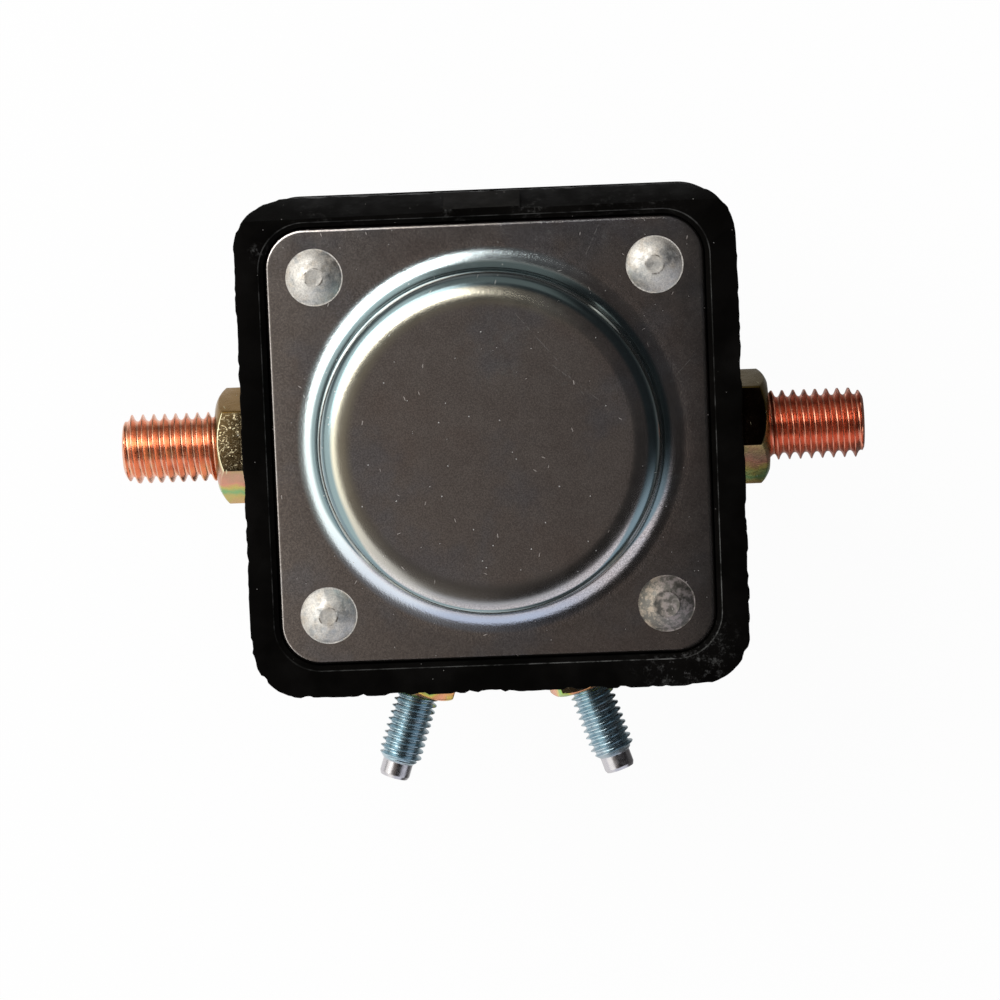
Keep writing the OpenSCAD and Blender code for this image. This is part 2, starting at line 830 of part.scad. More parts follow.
module lower_insulator() {
    color([0.45, 0.20, 0.12])
        difference() {
            union() {
                translate([0, 0, rod_seat_z])
                    cylinder(lower_insulator_t, d = insulator_d);
                translate([0, 0, rod_seat_z])
                    cylinder(lower_insulator_t + disc_t, r = collar_r);
            }
            translate([0, 0, rod_seat_z - cut])
                cylinder(lower_insulator_t + disc_t + 2 * cut, d = rod_d + 2 * slide);
        }
}

module contact_disc() {
    color(copper)
        translate([0, 0, disc_z])
            difference() {
                cylinder(disc_t, d = disc_d);
                translate([0, 0, -cut])
                    cylinder(disc_t + 2 * cut, r = collar_r + tight);
            }
}

module upper_insulator() {
    color([0.45, 0.20, 0.12])
        translate([0, 0, washer_z])
            difference() {
                cylinder(upper_insulator_t, d = insulator_d);
                translate([0, 0, -cut])
                    cylinder(upper_insulator_t + 2 * cut, d = rod_d + 2 * slide);
            }
}

module contact_spring() {
    r = contact_wire_d / 2;
    points = coil_points(contact_spring_r, contact_spring_top_r, spring_seat_z + r, clip_z - r,
        contact_turns);
    echo(contact_spring_least_gap = least_gap(points, contact_wire_d));
    color(steel)
        wire(points, coil_angles(contact_turns), r);
}

// Ring that is pushed sideways into the rod's groove
module retaining_clip() {
    color(steel)
        translate([0, 0, clip_z])
            linear_extrude(clip_t)
                difference() {
                    circle(d = clip_d);
                    circle(d = rod_d - 2 * clip_groove + 2 * tight);
                    translate([0, -rod_d / 2 + clip_groove])
                        square([clip_d, rod_d - 2 * clip_groove]);
                }
}

module return_spring() {
    r = return_wire_d / 2;
    points = coil_points(return_spring_r, return_spring_r, core_z - core_pocket + r,
        plunger_z + plunger_pocket - r, return_turns);
    echo(return_spring_least_gap = least_gap(points, return_wire_d));
    color(steel)
        wire(points, coil_angles(return_turns), r);
}

mounting_bracket();
coil_can();
fixed_core();
guide_tube();
bobbin();
coil_winding();
pole_plate();
flange_gasket();
housing();
cover_gasket();
front_cover();
corner_rivets();
left_terminal_stud();
right_terminal_stud();
terminal_nuts();
coil_terminal_stud();
ignition_terminal_stud();
control_nuts();
ignition_contact();
coil_lead();
ground_lead();
plunger();
plunger_rod();
lower_insulator();
contact_disc();
upper_insulator();
contact_spring();
retaining_clip();
return_spring();
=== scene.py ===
"""Dresses a starter solenoid: finishes for every piece, true shapes where the solids are plain,
and a white table with soft light."""

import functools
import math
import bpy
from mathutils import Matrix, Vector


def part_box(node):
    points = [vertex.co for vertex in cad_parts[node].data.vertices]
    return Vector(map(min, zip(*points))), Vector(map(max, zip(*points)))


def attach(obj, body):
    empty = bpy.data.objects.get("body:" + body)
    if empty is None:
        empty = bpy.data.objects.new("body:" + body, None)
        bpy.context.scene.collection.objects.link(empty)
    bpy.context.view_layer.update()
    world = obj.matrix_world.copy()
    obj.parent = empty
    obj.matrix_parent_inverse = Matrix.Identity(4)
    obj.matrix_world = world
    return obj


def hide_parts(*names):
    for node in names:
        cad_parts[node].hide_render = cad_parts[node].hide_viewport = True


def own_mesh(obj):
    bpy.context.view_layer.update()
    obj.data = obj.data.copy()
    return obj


bl_info = {
    "name": "Starter solenoid",
    "version": (1, 0, 0),
    "blender": (4, 5, 0),
    "location": "View3D > Sidebar > Solenoid",
    "description": "Builds a starter solenoid piece by piece, with its finishes and its stage",
    "category": "Add Mesh",
}

import bmesh
import bpy
from bpy.props import FloatProperty, FloatVectorProperty, PointerProperty
from mathutils import Matrix, Quaternion, Vector, noise

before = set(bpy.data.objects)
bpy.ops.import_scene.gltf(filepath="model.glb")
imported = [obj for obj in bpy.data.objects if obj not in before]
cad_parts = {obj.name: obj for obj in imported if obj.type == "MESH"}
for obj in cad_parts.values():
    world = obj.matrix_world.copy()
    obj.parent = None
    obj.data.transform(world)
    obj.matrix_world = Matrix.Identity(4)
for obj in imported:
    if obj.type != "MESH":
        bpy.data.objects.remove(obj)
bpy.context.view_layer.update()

MM = 0.001
CASE = "case"
PLUNGER = "plunger_group"
FLOOR = 3.0 * MM  # thickness of the moulding under its chamber
HEAD_SEAT = 19.6 * MM  # from the part's axis to the seats of the small studs' heads
SMALL_HEAD = 3.6 * MM  # radius of those heads


def size(name, description, default):
    """A length that a user may change, given in millimetres and kept in metres."""
    return FloatProperty(
        name=name, description=description, default=default * MM,
        min=0.0, precision=5, subtype="DISTANCE", unit="LENGTH",
    )


def colour(name, description, default):
    return FloatVectorProperty(
        name=name, description=description, default=default,
        subtype="COLOR", size=3, min=0.0, max=1.0,
    )


def angle(name, description, degrees):
    return FloatProperty(
        name=name, description=description, default=math.radians(degrees),
        subtype="ANGLE", unit="ROTATION",
    )


class HousingSettings(bpy.types.PropertyGroup):
    corner: size("Corner", "Radius of the housing's outer corners", 5.8)
    rim_inner: size("Rim opening", "Half width of the opening inside the rim's chamfer", 25.15)
    pocket: size("Pocket", "Half width of the pocket that holds the cover", 24.65)
    pocket_corner: size("Pocket corner", "Radius of the pocket's corners", 4.8)
    edge_round: size("Edge rounding", "Rounding of the outer edges of the moulding", 0.22)
    wander: size("Ragged edge", "How far the trimmed outer wall wanders", 0.28)
    chip: size("Chips", "Depth of the small chips along the outer edges", 0.34)
    stand: size("Standing edges", "How far the right and lower walls stand out", 0.3)
    bevel_left: size("Top bevel, left", "How far the top bevel reaches over the left rim", 2.5)
    bevel_right: size("Top bevel, right", "The same on the right, where less was cut", 1.95)
    bevel_depth: size("Top bevel depth", "How far the flat top bevel runs back", 5.0)
    pad_width: size("Gate pad width", "Width of the raised gate pad on the top bevel", 8.5)
    pad_height: size("Gate pad height", "Height of the gate pad above the bevel", 0.25)


class CoverSettings(bpy.types.PropertyGroup):
    corner: size("Corner", "Radius of the cover plate's corners", 4.5)
    edge_gap: size("Edge gap", "Gap between the plate and the wall of its pocket", 0.12)
    sheet: size("Sheet", "Sheet thickness", 1.2)
    boss_radius: size("Boss radius", "Radius of the boss's wall", 19.12)
    boss_height: size("Boss height", "Height of the boss above the plate", 6.2)
    toe: size("Toe radius", "Radius of the first, shallow part of the bend at the plate", 3.7)
    foot: size("Foot radius", "Radius of the middle part of that bend", 3.0)
    root: size("Root radius", "Radius of its last, steep part", 1.1)
    crown: size("Crown radius", "Radius of the shallow bend at the top of the boss", 5.3)
    shoulder: size("Shoulder radius", "Radius of the steep bend below it", 2.1)
    bend: angle("Bend change", "Slope at which the bends change their radius", 22.8)
    steep: angle("Steep slope", "Slope at which the root's radius begins", 44.0)
    roll: size("Rolled edge", "Width of the rounding that the punch leaves at the edge", 0.55)
    roll_drop: size("Rolled edge drop", "How far that rounding falls", 0.32)


class RivetSettings(bpy.types.PropertyGroup):
    spacing: size("Spacing", "Distance between neighbouring rivets", 38.0)
    head: size("Head diameter", "Diameter of the domed head", 6.3)
    dome: size("Head height", "Height of the domed head", 1.5)
    shank: size("Shank diameter", "Diameter of the shank", 4.0)
    foot: size("Foot diameter", "Diameter of the formed foot", 6.4)
    foot_height: size("Foot height", "Height of the formed foot", 1.2)


class StudSettings(bpy.types.PropertyGroup):
    large_pitch: size("Large pitch", "Pitch of the large studs' thread", 1.25)
    large_diameter: size("Large diameter", "Diameter over the large thread", 7.9)
    large_core: size("Large core", "Diameter of the large studs inside nut and wall", 7.2)
    small_pitch: size("Small pitch", "Pitch of the small studs' thread", 0.8)
    small_diameter: size("Small diameter", "Diameter over the small thread", 5.0)
    small_core: size("Small core", "Diameter of the small studs inside nut and wall", 4.5)
    dog_diameter: size("Dog diameter", "Diameter of the plain point", 3.5)
    dog_length: size("Dog length", "Length of the plain point", 1.85)
    large_nut: size("Large nut", "Width across flats of the large nuts", 11.6)
    large_nut_height: size("Large nut height", "Thickness of the large nuts", 3.35)
    small_nut: size("Small nut", "Width across flats of the small nuts", 8.0)
    small_nut_height: size("Small nut height", "Thickness of the small nuts", 3.75)
    small_nut_seat: size("Small nut seat", "From the part's axis to the small nuts", 27.3)
    left_stop: angle("Left nut stop", "How far the left nut was turned past level", 8.7)
    right_stop: angle("Right nut stop", "How far the right nut was turned past level", 15.6)
    coil_stop: angle("Left small nut stop", "How far the left small nut was turned", 118.0)
    ignition_stop: angle("Right small nut stop", "How far the right one was turned", 102.0)
    small_angle: angle("Small stud angle", "Angle of each small stud from straight down", 18.5)


class FinishSettings(bpy.types.PropertyGroup):
    steel: colour("Steel", "Plated sheet steel", (0.60, 0.55, 0.52))
    black: colour("Black", "Black phenolic moulding", (0.0014, 0.0012, 0.0010))
    aluminium: colour("Aluminium", "Rivets", (0.78, 0.755, 0.715))
    copper: colour("Copper", "Studs and contacts", (0.93, 0.46, 0.30))
    chromate: colour("Chromate", "Yellow chromate of the nuts", (0.50, 0.36, 0.16))
    zinc: colour("Zinc", "Blue zinc of the small studs", (0.42, 0.55, 0.61))


class StageSettings(bpy.types.PropertyGroup):
    lens: FloatProperty(
        name="Lens", description="Focal length of the camera", default=128.7,
        subtype="DISTANCE_CAMERA", unit="CAMERA",
    )
    distance: size("Distance", "From the cover plate's middle to the camera", 400.0)
    tilt: angle("Tilt", "How far the camera stands above square on", 5.17)
    yaw: angle("Yaw", "How far the camera stands to one side of square on", -1.77)
    roll: angle("Roll", "How far the object is turned in the picture", 2.30)
    key: FloatProperty(
        name="Key light", description="Brightness of the soft light on the upper left",
        default=3.0, min=0.0, max=20.0,
    )
    floor: size("Floor", "Width of the table", 6000.0)


class SolenoidSettings(bpy.types.PropertyGroup):
    housing: PointerProperty(type=HousingSettings)
    cover: PointerProperty(type=CoverSettings)
    rivets: PointerProperty(type=RivetSettings)
    studs: PointerProperty(type=StudSettings)
    finish: PointerProperty(type=FinishSettings)
    stage: PointerProperty(type=StageSettings)


def rounded_square(half, radius, height, side_steps=88, corner_steps=24):
    """Points of a rounded square round Z, the same number for any size."""
    flat = half - radius
    points = []
    for quarter in range(4):
        turn = Matrix.Rotation(quarter * math.pi / 2, 3, "Z")
        for i in range(side_steps):
            along = -flat + 2 * flat * i / side_steps
            points.append(turn @ Vector((half, along, height)))
        for i in range(corner_steps):
            a = math.pi / 2 * i / corner_steps
            spot = Vector((flat + radius * math.cos(a), flat + radius * math.sin(a), height))
            points.append(turn @ spot)
    return points


def ring_like(points, radius, height):
    """A circle round Z whose points lie at the same angles as the given ones."""
    ring = []
    for p in points:
        a = math.atan2(p.y, p.x)
        ring.append(Vector((radius * math.cos(a), radius * math.sin(a), height)))
    return ring


def circle(radius, height, steps):
    turn = 2 * math.pi / steps
    return [Vector((radius * math.cos(i * turn), radius * math.sin(i * turn), height))
            for i in range(steps)]


def arc(centre, radius, start, end, steps):
    """Radius and height of the points of an arc in a half section, from start to end degrees."""
    spots = []
    for i in range(steps + 1):
        a = math.radians(start + (end - start) * i / steps)
        spots.append((centre[0] + radius * math.cos(a), centre[1] + radius * math.sin(a)))
    return spots


def bend(start, radius, first, last, steps):
    """Radius and height along a bend that goes on outwards and down from a start, while its
    slope changes from the first to the last angle."""
    spots = []
    for i in range(1, steps + 1):
        a = first + (last - first) * i / steps
        spots.append((start[0] + radius * abs(math.sin(a) - math.sin(first)),
                      start[1] - radius * abs(math.cos(a) - math.cos(first))))
    return spots


def skin(rings, closed=False):
    """Faces between neighbouring rings. An open stack is capped, a closed one joins its ends."""
    count = len(rings[0])
    points = [p for ring in rings for p in ring]
    faces = []
    stack = len(rings) if closed else len(rings) - 1
    for k in range(stack):
        a = k * count
        b = (k + 1) % len(rings) * count
        for i in range(count):
            j = (i + 1) % count
            faces.append((a + i, a + j, b + j, b + i))
    if not closed:
        faces.append(tuple(range(count))[::-1])
        faces.append(tuple(range(len(points) - count, len(points))))
    return points, faces


def lathe(section, steps):
    """A solid turned round Z from the radius and height of its outline, top to bottom."""
    return skin([circle(r, z, steps) for r, z in section])


def new_piece(name, points, faces, finish, sharp):
    """A mesh object with outward normals, smooth but for its sharp edges."""
    mesh = bpy.data.meshes.new(name)
    mesh.from_pydata([tuple(p) for p in points], [], faces)
    shape = bmesh.new()
    shape.from_mesh(mesh)
    bmesh.ops.recalc_face_normals(shape, faces=shape.faces)
    shape.to_mesh(mesh)
    shape.free()
    mesh.materials.append(finish)
    smooth(mesh, sharp)
    piece = bpy.data.objects.new(name, mesh)
    bpy.context.scene.collection.objects.link(piece)
    return piece


def smooth(mesh, sharp):
    mesh.shade_smooth()
    mesh.set_sharp_from_angle(angle=math.radians(sharp))


def add_shape(target, points, faces, place):
    """Adds points and faces to a growing pair of lists, moved to their place."""
    start = len(target[0])
    target[0].extend(place @ p for p in points)
    target[1].extend(tuple(i + start for i in face) for face in faces)


def outward(angle, height):
    """Turns +Z to point away from the middle at an angle round the part, at a height."""
    return (Matrix.Translation((0, 0, height)) @ Matrix.Rotation(angle, 4, "Z")
            @ Matrix.Rotation(math.pi / 2, 4, "Y"))


def cut_away(piece, cutters):
    """Takes the cutters' solids out of the piece, one after the other."""
    made = []
    for points, faces, *finish in cutters:
        cutter = new_piece("cutter", points, faces, piece.data.materials[0], 35)
        for index in finish:
            while len(cutter.data.materials) <= index:
                cutter.data.materials.append(piece.data.materials[index])
            for face in cutter.data.polygons:
                face.material_index = index
        made.append(cutter)
        step = piece.modifiers.new("cut", "BOOLEAN")
        step.operation = "DIFFERENCE"
        step.solver = "MANIFOLD"
        step.object = cutter
    keep_modified(piece)
    for cutter in made:
        bpy.data.objects.remove(cutter)


def keep_modified(piece):
    """Puts the shape with all its modifiers into the piece's own mesh."""
    seen = piece.evaluated_get(bpy.context.evaluated_depsgraph_get())
    mesh = bpy.data.meshes.new_from_object(seen)
    old = piece.data
    piece.modifiers.clear()
    piece.data = mesh
    mesh.name = old.name
    bpy.data.meshes.remove(old)


def block(lo, hi, place):
    """The eight corners and six faces of a box."""
    points = [place @ Vector((x, y, z)) for z in (lo[2], hi[2]) for y in (lo[1], hi[1])
              for x in (lo[0], hi[0])]
    faces = [(0, 2, 3, 1), (4, 5, 7, 6), (0, 1, 5, 4), (2, 6, 7, 3), (0, 4, 6, 2), (1, 3, 7, 5)]
    return points, faces


def rod(radius, start, end, place, steps):
    points, faces = skin([circle(radius, start, steps), circle(radius, end, steps)])
    return [place @ p for p in points], faces


def shape_from(points, faces):
    shape = bmesh.new()
    made = [shape.verts.new(p) for p in points]
    for face in faces:
        shape.faces.new([made[i] for i in face])
    return shape


def taken_from(shape):
    """Points and faces of a shape that is done with."""
    shape.verts.index_update()
    points = [v.co.copy() for v in shape.verts]
    faces = [tuple(v.index for v in f.verts) for f in shape.faces]
    shape.free()
    return points, faces


def axis_of(nuts):
    """Height of the axis that a node's nuts sit on."""
    low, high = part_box(nuts)
    return (low.z + high.z) / 2


def joining(operation, swapped=False):
    """A method that puts a maths node between a field and a number or another field."""
    def joined(first, second=0.0):
        return maths(operation, second, first) if swapped else maths(operation, first, second)
    return joined


class Field:
    """A number or a colour that changes over a surface: a node's output. Fields are added,
    multiplied and compared like numbers."""

    def __init__(self, socket):
        self.socket = socket
        self.tree = socket.id_data

    __add__, __radd__ = joining("ADD"), joining("ADD", True)
    __sub__, __rsub__ = joining("SUBTRACT"), joining("SUBTRACT", True)
    __mul__, __rmul__ = joining("MULTIPLY"), joining("MULTIPLY", True)
    __truediv__, __rtruediv__ = joining("DIVIDE"), joining("DIVIDE", True)
    __lt__, __gt__ = joining("LESS_THAN"), joining("GREATER_THAN")
    __abs__, most, least = joining("ABSOLUTE"), joining("MAXIMUM"), joining("MINIMUM")

    def ramp(self, low, high, to_low=0.0, to_high=1.0):
        """Maps a range to another, with soft ends."""
        return add_node(self.tree, "ShaderNodeMapRange",
                        {"Value": self, "From Min": low, "From Max": high,
                         "To Min": to_low, "To Max": to_high}, interpolation_type="SMOOTHSTEP")

    def span(self, low, high, to_low=0.0, to_high=1.0):
        """The same, from a range of lengths in millimetres."""
        return self.ramp(low * MM, high * MM, to_low, to_high)

    def feed(self, entry):
        self.tree.links.new(self.socket, entry)


def add_node(tree, kind, inputs=None, output=0, **settings):
    """The given output of a new node, or for None all its outputs by name. Its inputs are
    values or fields."""
    node = tree.nodes.new(kind)
    for key, value in settings.items():
        setattr(node, key, value)
    for key, value in (inputs or {}).items():
        if isinstance(value, Field):
            value.feed(node.inputs[key])
        else:
            node.inputs[key].default_value = value
    if output is None:
        return {socket.name: Field(socket) for socket in node.outputs}
    return Field(node.outputs[output])


def tree_of(*values):
    return next(value.tree for value in values if isinstance(value, Field))


def maths(operation, a, b=0.0, tree=None):
    return add_node(tree or tree_of(a, b), "ShaderNodeMath", {0: a, 1: b}, operation=operation)


def strongest(fields):
    """The largest of several fields at each place."""
    return functools.reduce(Field.most, fields)


def blend(factor, a, b, mode="MIX"):
    """Mixes two colours, which are fields or red, green and blue."""
    a, b = (c if isinstance(c, Field) else tuple(c[:3]) + (1.0,) for c in (a, b))
    return add_node(tree_of(factor, a, b), "ShaderNodeMix", {0: factor, 6: a, 7: b}, 2,
                    data_type="RGBA", blend_type=mode)


def bands(level, first, last, *others):
    """Colours along a field that runs from 0 to 1, the others with their places."""
    film = add_node(level.tree, "ShaderNodeValToRGB", {"Fac": level})
    stops = film.socket.node.color_ramp.elements
    stops[0].color = first + (1.0,)
    stops[1].color = last + (1.0,)
    for spot, tint in others:
        stops.new(spot).color = tint + (1.0,)
    return film


def noise_at(tree, grain, detail=3.0, roughness=0.55, distortion=0.0, place=None):
    """Noise whose lumps are about the given number of millimetres wide."""
    return add_node(tree, "ShaderNodeTexNoise",
                    {"Vector": place or object_place(tree),
                     "Scale": maths("DIVIDE", 1000.0, grain, tree), "Detail": detail,
                     "Roughness": roughness, "Distortion": distortion})


def object_place(tree):
    return add_node(tree, "ShaderNodeTexCoord", output="Object")


def xyz(vector):
    return add_node(vector.tree, "ShaderNodeSeparateXYZ", {"Vector": vector}, None).values()


def vector_of(x, y, z=0.0):
    return add_node(tree_of(x, y), "ShaderNodeCombineXYZ", {"X": x, "Y": y, "Z": z})


def vector_maths(operation, a, b, output="Value"):
    return add_node(a.tree, "ShaderNodeVectorMath", {0: a, 1: b}, output, operation=operation)


def along_faces(tree):
    """X, Y and Z of the surface's direction, in the object's own axes."""
    return xyz(add_node(tree, "ShaderNodeTexCoord", output="Normal"))


def reach_from(tree, x, y):
    """Distance from the upright line through a point, given in millimetres."""
    across, along, _ = xyz(object_place(tree))
    return vector_maths("DISTANCE", vector_of(across, along), (x * MM, y * MM, 0))


def scratch_mark(tree, start, end, width):
    """One straight scratch between two points of the front, in millimetres."""
    x, y, _ = xyz(object_place(tree))
    run = Vector((end[0] - start[0], end[1] - start[1])) * MM
    x = x - start[0] * MM
    y = y - start[1] * MM
    part = x * (run.x / run.length_squared) + y * (run.y / run.length_squared)
    aside = abs(x * (run.y / run.length) - y * (run.x / run.length))
    return (part > 0.0) * (part < 1.0) * aside.span(width, width * 0.3)


def rgba(colour_of, factor=1.0):
    return tuple(min(c * factor, 1.0) for c in colour_of) + (1.0,)


def open_group(name, outputs, **inputs):
    """A node group. Its inputs are given with their defaults, and underscores in their names
    stand for spaces."""
    group = bpy.data.node_groups.new(name, "ShaderNodeTree")
    for label, default in inputs.items():
        kind = "NodeSocketColor" if isinstance(default, tuple) else "NodeSocketFloat"
        socket = group.interface.new_socket(label.replace("_", " "), in_out="INPUT",
                                            socket_type=kind)
        socket.default_value = default
    for label in outputs:
        kind = "NodeSocketColor" if label == "Color" else "NodeSocketFloat"
        group.interface.new_socket(label, in_out="OUTPUT", socket_type=kind)
    entry = group.nodes.new("NodeGroupInput")
    leave = group.nodes.new("NodeGroupOutput")
    return group, {socket.name: Field(socket) for socket in entry.outputs}, leave.inputs


def make_grain():
    """Fine peel with a slower waviness under it: what a pressed or moulded skin shows."""
    group, given, out = open_group("Surface grain", ("Height", "Mottle"),
                                   Grain=0.25, Waves=4.0, Wave_share=0.5)
    fine = noise_at(group, given["Grain"], detail=2.0)
    slow = noise_at(group, given["Waves"], detail=2.0)
    (fine + slow * given["Wave share"]).feed(out["Height"])
    slow.feed(out["Mottle"])
    return group


def make_dust():
    """Small pale specks and a thin film in patches."""
    group, given, out = open_group("Dust", ("Specks", "Film"), Speck=0.42, Amount=0.5, Patch=9.0)
    cells = add_node(group, "ShaderNodeTexVoronoi",
                     {"Vector": object_place(group), "Scale": 1000.0 / given["Speck"]}, None)
    drawn = add_node(group, "ShaderNodeSeparateColor", {"Color": cells["Color"]}, None)
    near = cells["Distance"] < 0.06 + drawn["Blue"] * 0.12
    chosen = drawn["Red"] > 1.0 - given["Amount"] * 0.10
    (near * chosen).feed(out["Specks"])
    patch = noise_at(group, given["Patch"], detail=4.0).ramp(0.45, 0.75)
    (patch * given["Amount"]).feed(out["Film"])
    return group


def make_scratches():
    """Short thin scratches in several directions, each kind on its own turned grid."""
    group, given, out = open_group("Scratches", ("Lines",), Length=3.0, Width=0.05, Amount=0.5)
    place = object_place(group)
    kinds = []
    for turn in (0.35, 1.25, 2.2, 2.85):
        across, along, _ = xyz(add_node(group, "ShaderNodeVectorRotate", {
            "Vector": place, "Axis": (0.15, 0.1, 1.0), "Angle": turn}))
        bent = across + noise_at(group, 5.0, detail=0.0) * 0.0015
        spot = vector_of(bent * 1000.0 / (given["Width"] * 8.0),
                         along * 1000.0 / given["Length"], turn)
        cells = add_node(group, "ShaderNodeTexVoronoi",
                         {"Vector": spot, "Scale": 1.0, "Randomness": 1.0}, None)
        drawn = add_node(group, "ShaderNodeSeparateColor", {"Color": cells["Color"]}, "Green")
        kinds.append((drawn > 1.0 - given["Amount"] * 0.04) * (cells["Distance"] < 0.16))
    strongest(kinds).feed(out["Lines"])
    return group


def make_edge_wear():
    """Where an edge stands proud, broken up by noise, so that only parts of it are worn."""
    group, given, out = open_group("Edge wear", ("Mask",), Reach=0.3, Amount=0.6, Break_up=1.2)
    rounded = add_node(group, "ShaderNodeBevel", {"Radius": given["Reach"] * MM}, samples=4)
    flat = add_node(group, "ShaderNodeNewGeometry", output="Normal")
    edge = (1.0 - vector_maths("DOT_PRODUCT", rounded, flat)).ramp(0.01, 0.2)
    patchy = noise_at(group, given["Break up"], detail=4.0).ramp(0.35, 0.6)
    (edge * patchy * given["Amount"]).feed(out["Mask"])
    return group


def make_colour_drift():
    """Slow drift between two tints of a plated or heated metal."""
    group, given, out = open_group(
        "Colour drift", ("Color",), Base=(0.5, 0.5, 0.5, 1.0), Warm=(0.6, 0.5, 0.4, 1.0),
        Cool=(0.4, 0.5, 0.6, 1.0), Patch=8.0, Amount=0.5)
    moved = vector_maths("ADD", object_place(group), (0.31, 0.17, 0.05), "Vector")
    warm = noise_at(group, given["Patch"], detail=4.0).ramp(0.48, 0.68) * given["Amount"]
    cool = noise_at(group, given["Patch"], detail=4.0, place=moved)
    cool = cool.ramp(0.48, 0.68) * given["Amount"]
    warmed = blend(warm, given["Base"], given["Warm"])
    blend(cool, warmed, given["Cool"]).feed(out["Color"])
    return group


EFFECTS = {"grain": make_grain, "dust": make_dust, "scratches": make_scratches,
           "wear": make_edge_wear, "drift": make_colour_drift}
MATERIALS = {}


@functools.cache
def shared(name):
    """One of the shared effects, made when it is first asked for."""
    return EFFECTS[name]()


def use(tree, name, **inputs):
    """Places a shared effect in a material. Underscores in an input's name stand for spaces."""
    given = {key.replace("_", " "): value for key, value in inputs.items()}
    return add_node(tree, "ShaderNodeGroup", given, None, node_tree=shared(name))


def start_finish(name):
    material = bpy.data.materials.new(name)
    material.use_nodes = True
    tree = material.node_tree
    return material, tree, tree.nodes["Principled BSDF"]


def close_finish(name, material, shader, tint, rough, height, depth):
    """Feeds the tint, the roughness and a relief, whose depth is in millimetres, and keeps the
    material for the next piece of this finish."""
    tint.feed(shader.inputs["Base Color"])
    rough.least(1.0).feed(shader.inputs["Roughness"])
    bump = add_node(tint.tree, "ShaderNodeBump",
                    {"Height": height, "Strength": 1.0, "Distance": depth * MM})
    bump.feed(shader.inputs["Normal"])
    MATERIALS[name] = material
    return material


def metal(name, base, warm, cool, roughness, grain=0.25, depth=0.004, waves=4.0,
          wave_share=0.5, patch=8.0, drift=0.6, scratched=0.4, scratch_length=3.0,
          scratch_width=0.05, dusty=0.3, worn=0.4, bright=None, brushed=None, shade=None,
          relief=None, spangle=0.0, uneven=1.0):
    """A bare or plated metal: drifting tint, grain, scratches, specks and bright worn edges.
    shade(tree, tint) may change the tint over the surface before wear and dust come on, and
    relief(tree, height) the height. Spangle is how much the finest grains differ in tint, and
    uneven how much the roughness changes over the surface."""
    if name in MATERIALS:
        return MATERIALS[name]
    material, tree, shader = start_finish(name)
    shader.inputs["Metallic"].default_value = 1.0
    bright = bright or base
    tint = use(tree, "drift", Base=rgba(base), Warm=rgba(warm), Cool=rgba(cool),
               Patch=patch, Amount=drift)["Color"]
    if spangle:
        speck = noise_at(tree, grain * 1.3, detail=1.0)
        level = speck.ramp(0.25, 0.75, 1.0 - spangle, 1.0 + spangle)
        tint = blend(1.0, tint, vector_of(level, level, level), "MULTIPLY")
    if shade:
        tint = shade(tree, tint)
    skin_of = use(tree, "grain", Grain=grain, Waves=waves, Wave_share=wave_share)
    rough = skin_of["Mottle"].ramp(0.3, 0.7, roughness * (1 - 0.2 * uneven),
                                   roughness * (1 + 0.25 * uneven))
    height = skin_of["Height"]
    if relief:
        height = relief(tree, height)
    if worn:
        tint = blend(use(tree, "wear", Amount=worn)["Mask"], tint, rgba(bright, 1.15))
    if scratched:
        lines = use(tree, "scratches", Length=scratch_length, Width=scratch_width,
                    Amount=scratched)["Lines"]
        rough = rough + lines * 0.25
        tint = blend(lines * 0.5, tint, rgba(bright, 1.3))
    if dusty:
        dust = use(tree, "dust", Amount=dusty)
        tint = blend(dust["Film"] * 0.12, tint, (0.30, 0.29, 0.28))
        tint = blend(dust["Specks"], tint, (0.62, 0.61, 0.60))
        rough = rough + dust["Specks"] * 0.4
    if brushed:
        height = height + brushed_lines(tree, *brushed)
    return close_finish(name, material, shader, tint, rough, height, depth)


def brushed_lines(tree, kind, width):
    """Long fine marks: turning marks round Z, or drawing marks along it."""
    x, y, z = xyz(object_place(tree))
    if kind == "turned":
        spot = vector_of(z, vector_maths("LENGTH", vector_of(x, y), (0, 0, 0)))
    else:
        spot = vector_of(x, y, z * 0.02)
    return noise_at(tree, width, detail=2.0, roughness=0.7, place=spot)


SCRATCHES = (  # start, end and width of the cover's long scratches, in millimetres
    ((13.2, 24.2), (11.4, 20.4), 0.07), ((23.2, 8.9), (20.2, 5.8), 0.06),
    ((5.9, 22.4), (5.7, 20.6), 0.06), ((14.4, -7.9), (13.9, -6.6), 0.06),
    ((10.6, 5.2), (9.0, 7.4), 0.05), ((12.4, 4.4), (6.9, 8.9), 0.05),
    ((3.4, 14.4), (7.9, 9.0), 0.05),
)
HAZES = (  # middle and radius of the cover's hazy patches, in millimetres
    (8.3, 6.9, 2.2), (4.9, 12.4, 1.3), (7.6, 23.0, 1.0), (13.6, 22.6, 1.0), (-22.2, 2.6, 1.7),
    (-1.6, 20.6, 2.0), (20.8, -4.5, 1.3), (1.5, 10.5, 6.5),
)
RUBBED = (  # middle, radius and strength of the dusty places on the moulding, in millimetres
    (21.0, -25.0, 7.5, 1.0), (5.0, 25.9, 3.0, 0.8), (-3.0, 25.6, 2.5, 0.7),
    (16.0, 27.0, 9.0, 0.35), (-25.0, 22.0, 1.5, 0.8), (-17.0, 26.6, 6.0, 0.3),
)


